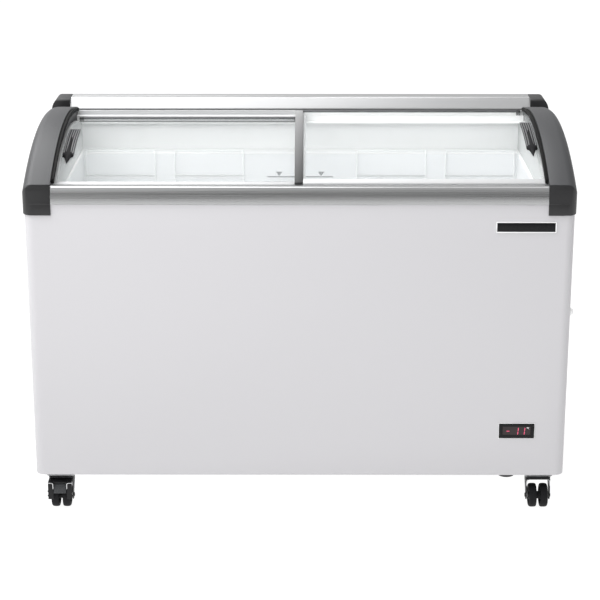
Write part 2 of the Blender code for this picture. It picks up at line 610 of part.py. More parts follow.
def build_fittings():
    front = BODY_FRONT - GAP
    block("badge_plate", 0.469, 0.610, 0.0012, front, 0.7326, 0.7567, DARK_STEEL)
    bezel = block("display_bezel", 0.4916, 0.5784, 0.0010, front, 0.2058, 0.2444, BLACK)
    combine(bezel, block("join_bezel_box", 0.4970, 0.5730, 0.002, 0.040, 0.2105, 0.2395, BLACK), "UNION")
    combine(bezel, block("cut_bezel_window", 0.5000, 0.5700, -0.01, 0.0045, 0.2130, 0.2370, BLACK),
            "DIFFERENCE")
    block("display_lens", 0.5003, 0.5697, 0.0018, 0.0042, 0.2133, 0.2367, DISPLAY)
    turned("side_plug", [(0, 0), (0.0115, 0), (0.0110, 0.004), (0.0065, PLUG_PROUD - GAP), (0, PLUG_PROUD - GAP)],
           (BODY_HALF + GAP, depth_y(0.048), 0.520), (1, 0, 0), GREY_PLASTIC, 24)
    turned("drain_outlet", [(0, -0.019), (0.019, -0.019), (0.021, -0.016), (0.021, 0), (0, 0)],
           (0.518, depth_y(0.050), BODY_BOTTOM - GAP), (0, 0, 1), BLACK, 28)
    turned("cord_gland", [(0, 0), (0.011, 0), (0.011, 0.0032), (0, 0.0032)],
           (0.300, depth_y(BODY_BACK + GAP), 0.160), (0, 1, 0), BLACK, 24)


build_cabinet()
build_top_frame()
build_end("left", -1)
build_end("right", 1)
build_lids()
for basket_name, basket_centre in zip(("outer_left_basket", "inner_left_basket", "inner_right_basket",
                                       "outer_right_basket"), BASKET_CENTRES):
    build_basket(basket_name, basket_centre)
build_running_gear()
build_machine_room()
build_fittings()
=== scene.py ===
"""Looks for the curved sliding-glass chest freezer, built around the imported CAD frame.

Pieces are drawn in cabinet coordinates: x across, depth back from the front face, z up, in metres.
at() turns those into the frame's world coordinates.
"""
import math

import bmesh
import bpy
from mathutils import Matrix, Vector


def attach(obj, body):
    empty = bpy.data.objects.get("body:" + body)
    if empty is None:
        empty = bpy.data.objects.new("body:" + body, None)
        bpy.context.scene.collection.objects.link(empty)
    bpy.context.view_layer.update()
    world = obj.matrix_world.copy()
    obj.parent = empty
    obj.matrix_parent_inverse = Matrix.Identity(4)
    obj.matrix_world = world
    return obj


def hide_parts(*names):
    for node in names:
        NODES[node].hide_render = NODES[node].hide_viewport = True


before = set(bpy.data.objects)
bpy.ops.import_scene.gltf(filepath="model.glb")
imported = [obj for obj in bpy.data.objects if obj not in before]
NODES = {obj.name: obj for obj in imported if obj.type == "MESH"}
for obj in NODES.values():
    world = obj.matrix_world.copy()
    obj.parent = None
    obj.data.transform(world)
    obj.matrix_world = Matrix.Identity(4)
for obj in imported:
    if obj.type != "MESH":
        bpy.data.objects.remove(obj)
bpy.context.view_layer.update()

# ---------- dimensions shared with the CAD
SHIFT_X = -0.0035             # the cabinet's middle plane in world X
FRONT_Y = -0.33
BODY_HALF, BODY_FRONT, BODY_BACK, BODY_CORNER = 0.657, 0.004, 0.656, 0.024
BODY_BOTTOM, BODY_TOP, SHEET, GAP = 0.106, 0.8, 0.0015, 0.0003
ARCH_RADIUS, ARCH_DEPTH, ARCH_TOP = 0.75, 0.375, 0.945
ARCH_CENTRE_Z = ARCH_TOP - ARCH_RADIUS
CAP_OUTER, CAP_INNER, CAP_EDGE, CAP_SKIRT, CAP_BACK = 0.66, 0.591, 0.027, 0.774, 0.5745
CAP_DROP_FRONT, CAP_DROP_BACK, CAP_WALL = 0.04, 0.028, 0.003
GASKET_INNER = 0.5832
RAIL_HALF, RAIL_TOP = 0.5905, 0.8445
RAIL_SPAN = (-RAIL_HALF, RAIL_HALF)
TANK_FRONT, TANK_BACK = 0.0728, 0.5432
LID_END, LID_OVERLAP, BAR = 0.5825, 0.015, (-0.012, 0.008)
UPPER_GLASS, LOWER_GLASS, GLASS = 0.012, 0.03, 0.004
HANDLE_INNER, HANDLE_OUTER, HANDLE_FROM, HANDLE_TO = 0.552, 0.579, 0.155, 0.315
LOAD_LINE = 0.737
BASKETS = {"outer_left": -0.4775, "inner_left": -0.2425, "inner_right": 0.2425, "outer_right": 0.4775}
BASKET_WIDTH, BASKET_RIM, BASKET_FLOOR, HOOK_Z = 0.195, 0.715, 0.515, 0.8034
BASKET_BRACE = 0.742          # the wire across each end of a basket, just under its hooks, drawn grey as painted shade
CASTER_X, CASTER_TRAIL, CASTER_TOP, WHEEL_RADIUS = 0.601, 0.018, 0.082, 0.03
WHEEL_WIDTH, WHEEL_GAP, FORK_HALF, PLATE_HALF = 0.019, 0.009, 0.03, 0.03
PLATE_LOW = CASTER_TOP - 0.0025
WEB_TOP = PLATE_LOW - 0.0031
WEB_LOW = WEB_TOP - 0.002
BOLTS = [(across, back) for across in (-0.0225, 0.0225) for back in (-0.0225, 0.0225)]
WHITE = (1.0, 1.0, 1.0, 1.0)


# ---------- materials
def feed(socket, value):
    """Give an input a constant value, or join it to another node's output."""
    if isinstance(value, bpy.types.NodeSocket):
        socket.id_data.links.new(value, socket)
    else:
        socket.default_value = value


def add_node(tree, kind, **inputs):
    """A new shader node with the named inputs fed."""
    node = tree.nodes.new("ShaderNode" + kind)
    for name, value in inputs.items():
        feed(node.inputs[name.replace("_", " ")], value)
    return node


def shader_material(name, colour, roughness, metallic=0.0, **sockets):
    """A Principled material. Constant values go straight on the shader's own sockets."""
    material = bpy.data.materials.new(name)
    material.use_nodes = True
    shader = material.node_tree.nodes["Principled BSDF"]
    sockets.update(Base_Color=(*colour, 1.0), Roughness=roughness, Metallic=metallic)
    for socket, value in sockets.items():
        shader.inputs[socket.replace("_", " ")].default_value = value
    return material


def shade(material, factor, dark, light, start=0.0, stop=1.0):
    """Scale a material's colour from dark to light as the factor goes from start to stop."""
    tree = material.node_tree
    colour = tree.nodes["Principled BSDF"].inputs["Base Color"]
    base = colour.default_value[:3]
    ramp = add_node(tree, "ValToRGB", Fac=factor)
    for element, position, scale in zip(ramp.color_ramp.elements, (start, stop), (dark, light)):
        element.position = position
        element.color = (*[min(1.0, channel * scale) for channel in base], 1.0)
    feed(colour, ramp.outputs["Color"])


def grained(name, colour, roughness, scale, height, metallic=0.0, stretch=(1, 1, 1), detail=3.0, rough=0.0,
            tint=0.0, cells=False, **sockets):
    """A material with procedural relief in object space, and matching changes of roughness and of shade."""
    material = shader_material(name, colour, roughness, metallic, **sockets)
    tree = material.node_tree
    shader = tree.nodes["Principled BSDF"]
    coordinate = add_node(tree, "TexCoord")
    mapping = add_node(tree, "Mapping", Scale=stretch, Vector=coordinate.outputs["Object"])
    place = mapping.outputs["Vector"]
    if cells:
        pattern = add_node(tree, "TexVoronoi", Scale=scale, Vector=place).outputs["Distance"]
    else:
        pattern = add_node(tree, "TexNoise", Scale=scale, Detail=detail, Vector=place).outputs["Fac"]
    if height:
        bump = add_node(tree, "Bump", Strength=1.0, Distance=height, Height=pattern)
        feed(shader.inputs["Normal"], bump.outputs["Normal"])
    if rough:
        swing = add_node(tree, "MapRange", Value=pattern, From_Min=0.25, From_Max=0.75,
                         To_Min=roughness - rough, To_Max=roughness + rough)
        feed(shader.inputs["Roughness"], swing.outputs["Result"])
    if tint:
        shade(material, pattern, 1 - tint, 1 + tint, 0.3, 0.7)
    return material


def ribs_with_painted_shade(material, pitch, height, dark):
    """Fine parallel ribs that follow each other along X, with painted shade: the colour darkens in the
    hollows between them.
    """
    tree = material.node_tree
    coordinate = add_node(tree, "TexCoord")
    wave = add_node(tree, "TexWave", Scale=2 * math.pi / 20 / pitch, Vector=coordinate.outputs["Object"])
    wave.bands_direction = "X"
    bump = add_node(tree, "Bump", Distance=height, Height=wave.outputs["Fac"])
    feed(tree.nodes["Principled BSDF"].inputs["Normal"], bump.outputs["Normal"])
    shade(material, wave.outputs["Fac"], dark, 1.0)
    return material


def painted_front_shade(material, start, stop, dark):
    """Painted shade along Y: darkens a material's colour towards the front, back to its own colour at the
    back.
    """
    tree = material.node_tree
    coordinate = add_node(tree, "TexCoord")
    split = add_node(tree, "SeparateXYZ", Vector=coordinate.outputs["Object"])
    position = add_node(tree, "MapRange", Value=split.outputs["Y"], From_Min=start, From_Max=stop)
    shade(material, position.outputs["Result"], dark, 1.0)
    return material


BRUSHED = {"metallic": 1.0, "stretch": (0.02, 14, 14), "detail": 5.0, "rough": 0.08, "tint": 0.05}
MOULDED = {"rough": 0.06, "tint": 0.08}
SATIN = {"rough": 0.05, "tint": 0.06}
WORN = {"rough": 0.08, "tint": 0.15}

ENAMEL = grained("white_enamel_paint", (0.538, 0.532, 0.549), 0.34, 700, 0.00003, rough=0.05, tint=0.006)
LINER = grained("white_liner_paint", (0.765, 0.775, 0.79), 0.38, 500, 0.00003, rough=0.06, tint=0.006)
WHITE_PLASTIC = grained("white_moulded_plastic", (0.92, 0.925, 0.925), 0.4, 1200, 0.00003, rough=0.05)
ALUMINIUM = grained("brushed_aluminium", (0.64, 0.645, 0.65), 0.3, 90, 0.00004, **BRUSHED, Anisotropic=0.5)
# The sloped front of the rear rail gets this darker copy of the aluminium, and its flat top keeps the
# brighter one: painted shade.
RAIL_SLOPE_PAINTED_SHADE = grained("aluminium_rail_slope_painted_shade", (0.34, 0.342, 0.346), 0.4, 90, 0.00004, **BRUSHED)
RUNNER_GREY = grained("pale_runner_plastic", (0.5, 0.505, 0.51), 0.45, 1200, 0.00003, rough=0.05, tint=0.02)
GRIP_BLACK = grained("matt_black_grip", (0.01, 0.01, 0.011), 0.72, 1500, 0.00006, rough=0.05, tint=0.1,
                     Specular_IOR_Level=0.18)
CAP_PLASTIC = grained("charcoal_moulded_plastic", (0.033, 0.034, 0.037), 0.44, 1500, 0.00005, **MOULDED)
BLOCK_PLASTIC = grained("black_moulded_plastic", (0.014, 0.014, 0.015), 0.46, 1500, 0.00005, **MOULDED)
FRAME_PLASTIC = grained("dark_frame_plastic", (0.06, 0.062, 0.066), 0.38, 1300, 0.00004, **SATIN)
GREY_PLASTIC = grained("grey_track_plastic", (0.42, 0.43, 0.44), 0.42, 1300, 0.00004, stretch=(0.1, 1, 1),
                       rough=0.06, tint=0.05)
LINER_GREY = grained("light_grey_side_plastic", (0.52, 0.53, 0.53), 0.5, 1200, 0.00004, rough=0.05, tint=0.03)
RUBBER = grained("black_gasket_rubber", (0.008, 0.008, 0.008), 0.8, 1600, 0.00008, **WORN,
                 Specular_IOR_Level=0.2)
TYRE = grained("black_wheel_tread", (0.007, 0.007, 0.008), 0.7, 1600, 0.00008, **WORN,
               Specular_IOR_Level=0.25)
BLACK_STEEL = grained("black_coated_steel", (0.01, 0.01, 0.011), 0.48, 1100, 0.00005, rough=0.06, tint=0.1,
                      Specular_IOR_Level=0.3)
CHROME = grained("bright_plated_steel", (0.78, 0.78, 0.79), 0.16, 400, 0.00002, 1.0, rough=0.05, tint=0.03)
ZINC = grained("galvanised_steel", (0.56, 0.57, 0.58), 0.38, 60, 0.0, 1.0, rough=0.1, tint=0.1, cells=True)
WIRE = grained("coated_basket_wire", (0.84, 0.85, 0.855), 0.3, 900, 0.00004, rough=0.05)
FOAM = grained("sprayed_foam", (0.74, 0.6, 0.34), 0.9, 160, 0.0015, tint=0.15, cells=True)
GLOSS_BLACK = grained("black_gloss_panel", (0.006, 0.006, 0.007), 0.28, 900, 0.00001, rough=0.03,
                      Specular_IOR_Level=0.22)
# The condenser fins have painted shade in the hollows between their ribs.
FINS = ribs_with_painted_shade(shader_material("condenser_fins", (0.55, 0.56, 0.57), 0.4, 1.0), 0.003, 0.0004, 0.6)
GLASS_PANE = grained("clear_tempered_glass", (0.9, 0.955, 0.95), 0.04, 6, 0.0, rough=0.01, IOR=1.5, Alpha=0.1)
LENS = grained("dark_red_display_window", (0.014, 0.006, 0.007), 0.25, 700, 0.00001, rough=0.02)
LED = grained("red_display_segments", (0.5, 0.04, 0.1), 0.4, 600, 0.00001, tint=0.05,
              Emission_Strength=0.55, Emission_Color=(1.0, 0.16, 0.3, 1.0))
LINE_PRINT = grained("dark_grey_print", (0.13, 0.13, 0.14), 0.5, 900, 0.00001, tint=0.06)
# The right meeting bar's colour is painted much darker towards the front: painted shade.
BAR_METAL = painted_front_shade(grained("satin_grey_bar", (0.36, 0.362, 0.366), 0.5, 90, 0.00004, 0.2,
                         stretch=(14, 0.02, 14), detail=5.0, rough=0.07), -0.3, 0.2, 0.085)
HANDLE_GREY = grained("dark_grey_ribbed_plastic", (0.13, 0.132, 0.136), 0.42, 1300, 0.00004, **SATIN)
PEDAL_GREY = grained("grey_pedal_plastic", (0.055, 0.057, 0.06), 0.6, 1200, 0.00006, rough=0.06, tint=0.06,
                     Specular_IOR_Level=0.3)
HUB_PLASTIC = grained("black_hub_plastic", (0.012, 0.012, 0.013), 0.55, 1200, 0.00005, **MOULDED,
                      Specular_IOR_Level=0.3)
CASTER_METAL = grained("black_plated_steel", (0.022, 0.022, 0.024), 0.4, 900, 0.00004, 0.3, rough=0.06,
                       tint=0.1)
CHANNEL_PAINT = grained("white_channel_paint", (0.72, 0.725, 0.73), 0.42, 700, 0.00004, rough=0.06, tint=0.02)

# which CAD nodes each material goes on, by the ends of their names
NODE_MATERIALS = (
    (ENAMEL, ("outer_shell", "rear_panel", "grille")), (FOAM, ("foam_body",)), (LINER, ("tank_liner",)),
    (ZINC, ("base_panel", "compressor_tray", "base_channel")), (ALUMINIUM, ("trim_rail",)),
    (WHITE_PLASTIC, ("tank_rim", "load_line_label", "rear_header", "side_plug")),
    (GREY_PLASTIC, ("track", "fan_blades")), (CAP_PLASTIC, ("end_cap",)), (LINER_GREY, ("side_liner",)),
    (BLOCK_PLASTIC, ("corner", "fan_shroud", "drain_outlet", "cord_gland", "lid_handle")),
    (RUBBER, ("gasket",)), (GLOSS_BLACK, ("badge_plate", "display_bezel")), (LENS, ("display_lens",)),
    (BLACK_STEEL, ("compressor", "caster_plate", "caster_fork", "brake_pedal")), (FINS, ("condenser",)),
    (GLASS_PANE, ("lid_glass",)), (FRAME_PLASTIC, ("lid_frame",)), (WIRE, ("basket",)), (TYRE, ("wheels",)),
)
for node_name, node in NODES.items():
    node.data.materials.clear()
    for look, endings in NODE_MATERIALS:
        if node_name.endswith(endings):
            node.data.materials.append(look)
            break


# ---------- mesh helpers
def at(x, depth, z):
    """Cabinet coordinates to world coordinates."""
    return Vector((x + SHIFT_X, FRONT_Y + depth, z))


def sided(sign, inner, outer):
    """A stretch of x on the left (-1) or right (1) side of the cabinet, in rising order."""
    return sorted((sign * inner, sign * outer))


def with_mirror(outline):
    """An outline's points and then their mirror images, last one first."""
    return outline + [(-x, z) for x, z in reversed(outline)]


def bare_object(name, bm, materials):
    bmesh.ops.remove_doubles(bm, verts=bm.verts, dist=1e-6)
    bmesh.ops.recalc_face_normals(bm, faces=bm.faces)
    mesh = bpy.data.meshes.new(name)
    bm.to_mesh(mesh)
    bm.free()
    mesh.shade_smooth()
    mesh.set_sharp_from_angle(angle=math.radians(40))
    for material in materials:
        mesh.materials.append(material)
    obj = bpy.data.objects.new(name, mesh)
    bpy.context.scene.collection.objects.link(obj)
    return obj


def cutter(bm):
    """A solid for carve(), which throws it away."""
    return bare_object("tool", bm, [])


def settle(obj):
    """Apply an object's modifiers."""
    graph = bpy.context.evaluated_depsgraph_get()
    mesh = bpy.data.meshes.new_from_object(obj.evaluated_get(graph))
    obj.modifiers.clear()
    old = obj.data
    obj.data = mesh
    bpy.data.meshes.remove(old)


def carve(obj, tools, operation="DIFFERENCE"):
    """Boolean obj with each tool in turn, then throw the tools away."""
    for tool in tools:
        modifier = obj.modifiers.new("carve", "BOOLEAN")
        modifier.operation = operation
        modifier.solver = "EXACT"
        modifier.object = tool
        settle(obj)
        bpy.data.objects.remove(tool)


def piece(obj, body, slot, *replaced, bevel=0.0, smooth_angle=40.0):
    """Finish a visible piece: round its edges and ride it on its body. Its slot argument is not used."""
    if bevel:
        modifier = obj.modifiers.new("bevel", "BEVEL")
        modifier.width = bevel
        modifier.segments = 2
        modifier.limit_method = "ANGLE"
        modifier.angle_limit = math.radians(35)
        modifier.harden_normals = False
        settle(obj)
    obj.data.shade_smooth()
    obj.data.set_sharp_from_angle(angle=math.radians(smooth_angle))
    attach(obj, body)
    if replaced:
        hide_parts(*replaced)


def new_piece(name, bm, materials, *declared, **edges):
    piece(bare_object(name, bm, materials), *declared, **edges)


def loft(bm, loops, closed=False, material=0):
    """Skin a row of loops that have the same number of points."""
    rings = [[bm.verts.new(point) for point in loop] for loop in loops]
    count = len(rings[0])
    pairs = list(zip(rings, rings[1:]))
    if closed:
        pairs.append((rings[-1], rings[0]))
    faces = []
    for ring, following in pairs:
        for i in range(count):
            j = (i + 1) % count
            faces.append(bm.faces.new((ring[i], ring[j], following[j], following[i])))
    if not closed:
        faces.append(bm.faces.new(list(reversed(rings[0]))))
        faces.append(bm.faces.new(rings[-1]))
    for face in faces:
        face.material_index = material


def section(bm, outline, x0, x1, material=0):
    """Pull a (depth, height) outline out along X."""
    loft(bm, [[at(x, d, z) for d, z in outline] for x in (x0, x1)], material=material)


def slab(bm, outline, z0, z1):
    """Pull an (x, depth) outline up from z0 to z1."""
    loft(bm, [[at(x, d, z) for x, d in outline] for z in (z0, z1)])


def panel(bm, outline, d0, d1, material=0):
    """Pull an (x, z) outline back from d0 to d1."""
    loft(bm, [[at(x, d, z) for x, z in outline] for d in (d0, d1)], material=material)


def add_box(bm, x0, x1, d0, d1, z0, z1, material=0):
    section(bm, [(d0, z0), (d1, z0), (d1, z1), (d0, z1)], x0, x1, material)


def box_cutter(*box):
    bm = bmesh.new()
    add_box(bm, *box)
    return cutter(bm)


def lathe(bm, profile, centre, axis, segments=40, material=0):
    """Turn a (radius, height along axis) profile about an axis through centre."""
    turn = Vector((0, 0, 1)).rotation_difference(Vector(axis)).to_matrix()
    loops = []
    for i in range(segments):
        angle = 2 * math.pi * i / segments
        spoke = Vector((math.cos(angle), math.sin(angle), 0))
        loops.append([Vector(centre) + turn @ (spoke * r + Vector((0, 0, h))) for r, h in profile])
    loft(bm, loops, closed=True, material=material)


def lathe_pair(bm, profile, centre, segments, material=0):
    """The same turned shape to the left and to the right of a centre."""
    for direction in (-1, 1):
        mirrored = [(r, direction * h) for r, h in profile]
        lathe(bm, mirrored, centre, (1, 0, 0), segments, material)


def tube(bm, points, radius, sides=8, material=0):
    """A round bar that follows a list of points."""
    loops = []
    normal = None
    for i, point in enumerate(points):
        before, after = points[max(i - 1, 0)], points[min(i + 1, len(points) - 1)]
        along = (Vector(after) - Vector(before)).normalized()
        if normal is None:
            normal = along.orthogonal().normalized()
        else:
            normal = (normal - along * normal.dot(along)).normalized()
        side = along.cross(normal)
        loops.append([Vector(point) + (normal * math.cos(a) + side * math.sin(a)) * radius
                      for a in (2 * math.pi * k / sides for k in range(sides))])
    loft(bm, loops, material=material)


def filleted(points, radius, steps):
    """Replace the inner corners of a polyline by short curves."""
    result = [Vector(points[0])]
    for before, corner, after in zip(points, points[1:], points[2:]):
        corner = Vector(corner)
        into, out = (Vector(before) - corner), (Vector(after) - corner)
        reach = min(radius, into.length / 2.01, out.length / 2.01)
        start, stop = corner + into.normalized() * reach, corner + out.normalized() * reach
        for i in range(steps + 1):
            t = i / steps
            result.append(start * (1 - t) ** 2 + corner * 2 * t * (1 - t) + stop * t ** 2)
    result.append(Vector(points[-1]))
    return result


def rounded_outline(x0, x1, d0, d1, front_radius, back_radius, steps=12):
    """An (x, depth) rectangle with round corners."""
    corners = ((x1 - front_radius, d0 + front_radius, front_radius, -90),
               (x1 - back_radius, d1 - back_radius, back_radius, 0),
               (x0 + back_radius, d1 - back_radius, back_radius, 90),
               (x0 + front_radius, d0 + front_radius, front_radius, 180))
    points = []
    for cx, cd, r, start in corners:
        for i in range(steps + 1):
            angle = math.radians(start + 90 * i / steps)
            points.append((cx + r * math.cos(angle), cd + r * math.sin(angle)))
    return points


def quarter(steps):
    """Angles from 0 to 90 degrees, in radians."""
    return [math.pi / 2 * i / steps for i in range(steps + 1)]


def spread(start, stop, count):
    return [start + (stop - start) * i / count for i in range(count + 1)]


def arch_height(depth, offset=0.0):
    """How high the arch stands at a depth, offset inwards from its crown."""
    return ARCH_CENTRE_Z + math.sqrt((ARCH_RADIUS - offset) ** 2 - (depth - ARCH_DEPTH) ** 2)


def arch_band(top, bottom, start, stop, count=64):
    """The outline of a strip between two offsets of the arch."""
    depths = spread(start, stop, count)
    upper, lower = [[(d, arch_height(d, offset)) for d in depths] for offset in (top, bottom)]
    return upper + lower[::-1]


def from_section(name, outline, x0, x1, material, *declared, **edges):
    """A piece with the same section from end to end."""
    bm = bmesh.new()
    section(bm, outline, x0, x1)
    new_piece(name, bm, [material], *declared, **edges)


# ---------- camera, light, floor
def build_camera():
    data = bpy.data.cameras.new("camera")
    data.sensor_width = 36.0
    data.lens = 106.4
    camera = bpy.data.objects.new("camera", data)
    camera.location = (0.009, -4.4, 1.855)
    camera.rotation_euler = (math.radians(90 - 17.6), 0.0, math.radians(0.16))
    bpy.context.scene.collection.objects.link(camera)
    bpy.context.scene.camera = camera
    bpy.context.scene.view_settings.view_transform = "Standard"


def build_floor():
    """A wide disc that shines nearly white, made of an inner disc and a ring."""
    bm = bmesh.new()
    steps = 96
    turns = [2 * math.pi * k / steps for k in range(steps)]
    inner, outer = [[bm.verts.new((radius * math.cos(a), radius * math.sin(a), 0.0)) for a in turns]
                    for radius in (6.0, 12.0)]
    bm.faces.new(inner)
    for k in range(steps):
        j = (k + 1) % steps
        bm.faces.new((inner[k], inner[j], outer[j], outer[k]))
    paint = grained("pale_studio_floor", (0.15, 0.15, 0.15), 0.9, 3, 0.0, tint=0.01, Emission_Strength=0.93,
                    Emission_Color=WHITE)
    bare_object("studio_floor", bm, [paint])


def build_world():
    """White to the camera. Its light fades low in front, to the right and a little behind."""
    world = bpy.data.worlds.new("studio")
    bpy.context.scene.world = world
    world.use_nodes = True
    tree = world.node_tree
    lit = tree.nodes["Background"]
    lit.inputs["Color"].default_value = WHITE
    coordinate = add_node(tree, "TexCoord")
    split = add_node(tree, "SeparateXYZ", Vector=coordinate.outputs["Generated"])

    def mapped(axis, start, stop, first, last):
        node = add_node(tree, "MapRange", Value=split.outputs[axis], From_Min=start, From_Max=stop,
                        To_Min=first, To_Max=last)
        node.interpolation_type = "SMOOTHSTEP"
        return node.outputs["Result"]

    def combined(operation, first, second):
        node = add_node(tree, "Math")
        node.operation = operation
        for socket, value in zip(node.inputs, (first, second)):
            feed(socket, value)
        return node.outputs["Value"]

    forward = mapped("Y", 0.15, -0.7, 0.0, 1.0)
    low = mapped("Z", 0.72, 0.05, 0.0, 1.0)
    dark = combined("MULTIPLY", forward, low)
    side = mapped("X", -0.9, 0.9, 1.08, 0.58)
    behind = mapped("Y", 0.1, 0.8, 1.0, 0.82)
    strength = combined("SUBTRACT", 1.0, combined("MULTIPLY", dark, 0.88))
    for factor in (side, behind):
        strength = combined("MULTIPLY", strength, factor)
    feed(lit.inputs["Strength"], strength)
    plain = add_node(tree, "Background", Color=WHITE)
    path = add_node(tree, "LightPath")
    mix = add_node(tree, "MixShader", Fac=path.outputs["Is Camera Ray"])
    feed(mix.inputs[1], lit.outputs["Background"])
    feed(mix.inputs[2], plain.outputs["Background"])
    feed(tree.nodes["World Output"].inputs["Surface"], mix.outputs["Shader"])


def softbox(name, location, aim, width, height, power):
    data = bpy.data.lights.new(name, "AREA")
    data.shape = "RECTANGLE"
    data.size, data.size_y, data.energy = width, height, power
    light = bpy.data.objects.new(name, data)
    light.location = location
    light.rotation_mode = "QUATERNION"
    light.rotation_quaternion = (Vector(aim) - Vector(location)).to_track_quat("-Z", "Y")
    bpy.context.scene.collection.objects.link(light)
    return light


def build_lights():
    softbox("overhead_left_softbox", (-1.9, 0.6, 3.3), (-1.3, 0.4, 0.6), 4.6, 4.2, 180.0)
    softbox("overhead_right_softbox", (1.9, 0.2, 3.3), (1.9, 0.2, 0.0), 2.4, 3.2, 11.0)
    softbox("front_left_softbox", (-2.6, -3.4, 2.0), (0.0, 0.0, 0.45), 1.3, 2.0, 10.0)
    fill = softbox("front_fill_softbox", (-0.8, -3.7, 2.4), (-0.1, 0.3, 0.84), 2.0, 1.0, 70.0)
    fill.visible_glossy = False          # it brightens the tank without a streak on the front rail
    softbox("front_right_softbox", (2.8, -3.6, 1.9), (0.0, 0.0, 0.45), 1.1, 1.8, 1.0)


# ---------- painted shell
def build_shell():
    """Sheet bent round the front and the sides, open at the back, at the side grille and at the display."""
    wall = ((0.0, BODY_BOTTOM + 0.0012), (0.0004, BODY_BOTTOM + 0.0003), (0.001, BODY_BOTTOM),
            (SHEET, BODY_BOTTOM + 0.0003), (SHEET, BODY_TOP - 0.0003), (0.001, BODY_TOP),
            (0.0004, BODY_TOP - 0.0003), (0.0, BODY_TOP - 0.0012))
    loops = []
    for inset, z in wall:
        outline = rounded_outline(-BODY_HALF + inset, BODY_HALF - inset, BODY_FRONT + inset, BODY_BACK,
                                  BODY_CORNER - inset, 0.0035 - inset)
        loops.append([at(x, d, z) for x, d in outline])
    bm = bmesh.new()
    loft(bm, loops, closed=True)
    shell = bare_object("painted_shell", bm, [ENAMEL])
    inside, rear = BODY_HALF - SHEET - 0.0002, BODY_BACK - SHEET - 0.0002
    grille = box_cutter(BODY_HALF - 0.01, BODY_HALF + 0.01, 0.14, 0.5, 0.14, 0.4)
    display = box_cutter(0.4965, 0.5735, -0.01, 0.012, 0.21, 0.24)
    back = box_cutter(-inside, inside, rear, BODY_BACK + 0.01, 0.1, 0.82)
    carve(shell, [grille, display, back])
    piece(shell, "cabinet", "white_enamel", "outer_shell", smooth_angle=30)


# ---------- top frame
def build_front_rail():
    """The front rail leans back more and more, then rounds over, and the glass track stands behind it."""
    face = [(0.0004, BODY_TOP + GAP)]
    steps, lean_low, lean_high, height = 24, math.radians(4), math.radians(22), 0.0402
    for k in range(steps):
        lean = lean_low + (lean_high - lean_low) * ((k + 0.5) / steps) ** 1.8
        depth, z = face[-1]
        face.append((depth + height / steps * math.tan(lean), z + height / steps))
    depth, z = face[-1]
    radius = (RAIL_TOP - z) / math.cos(lean_high)
    for k in range(1, 11):
        lean = lean_high + (math.pi / 2 - lean_high) * k / 10
        face.append((depth + radius * (math.sin(lean) - math.sin(lean_high)),
                     z + radius * (math.cos(lean_high) - math.cos(lean))))
    outline = [(0.0228, BODY_TOP + GAP)] + face + [(0.0222, RAIL_TOP), (0.0228, RAIL_TOP - 0.0005)]
    from_section("front_rail", outline, *RAIL_SPAN, ALUMINIUM, "cabinet", "satin_aluminium",
                 "front_trim_rail")
    track = [(0.0232, 0.8003), (0.06, 0.8003), (0.06, 0.8235), (0.059, 0.825), (0.0578, 0.8235),
             (0.0578, 0.82), (0.0415, 0.82), (0.0415, 0.8235), (0.0405, 0.825), (0.0405, 0.836),
             (0.0395, 0.8375), (0.039, 0.836), (0.039, 0.833), (0.024, 0.833), (0.024, 0.836),
             (0.0236, 0.8375), (0.0232, 0.836)]
    from_section("front_glass_track", track, *RAIL_SPAN, WHITE_PLASTIC, "cabinet", "white_trim",
                 "front_track")


def build_rear_rail():
    """A hollow rail with a groove along its flat top, notched where the end caps reach in."""
    groove = [(0.618, 0.9405), (0.6186, 0.9399), (0.6204, 0.9399), (0.621, 0.9405)]
    back = [(0.6485 + 0.007 * math.sin(a), 0.9335 + 0.007 * math.cos(a)) for a in quarter(8)]
    outline = [(0.57, 0.9124), (0.57, 0.915), (0.5706, 0.9164), (0.572, 0.9178), (0.5975, 0.9378),
               (0.6, 0.9394), (0.603, 0.9403), (0.606, 0.9405)] + groove + back
    outline += [(0.6555, 0.8008), (0.653, 0.8008), (0.653, 0.9325), (0.6478, 0.9375), (0.6036, 0.9375),
                (0.6, 0.936), (0.5728, 0.9146), (0.5728, 0.9124)]
    bm = bmesh.new()
    section(bm, outline, -0.611, 0.611)
    rail = bare_object("rear_rail", bm, [RAIL_SLOPE_PAINTED_SHADE, ALUMINIUM])
    for face in rail.data.polygons:
        if face.normal.z > 0.9:                              # the flat top keeps the brighter aluminium, the slope the darker copy: painted shade
            face.material_index = 1
    for sign in (-1, 1):
        carve(rail, [box_cutter(*sided(sign, RAIL_HALF, 0.62), 0.56, CAP_BACK + 0.0004, 0.8, 0.925)])
    piece(rail, "cabinet", "satin_aluminium", "rear_trim_rail")


def build_header():
    """The inner wall above the back of the tank, and the glass track on top of it."""
    header = [(0.59, 0.8005), (0.5925, 0.8005), (0.5925, 0.881), (0.6525, 0.881), (0.6525, 0.8835),
              (0.591, 0.8835), (0.59, 0.8825)]
    from_section("rear_inner_header", header, *RAIL_SPAN, WHITE_PLASTIC, "cabinet", "white_trim",
                 "rear_header", bevel=0.0003)
    wall = [(0.533, 0.8838), (0.64, 0.8838), (0.64, 0.8868), (0.5486, 0.8868), (0.5486, 0.9015),
            (0.5476, 0.902), (0.5468, 0.9012), (0.5468, 0.8872), (0.5455, 0.8862), (0.533, 0.8862)]
    lip = [(0.5489, 0.898), (0.566, 0.898), (0.566, 0.887), (0.5695, 0.887), (0.5695, 0.9112),
           (0.569, 0.912), (0.565, 0.912), (0.5642, 0.9112), (0.5642, 0.9015), (0.563, 0.9006),
           (0.5489, 0.9006)]
    bm = bmesh.new()
    section(bm, wall, *RAIL_SPAN)
    section(bm, lip, *RAIL_SPAN, 1)
    new_piece("rear_glass_track", bm, [WHITE_PLASTIC, RUNNER_GREY], "cabinet", "white_trim", "rear_track")


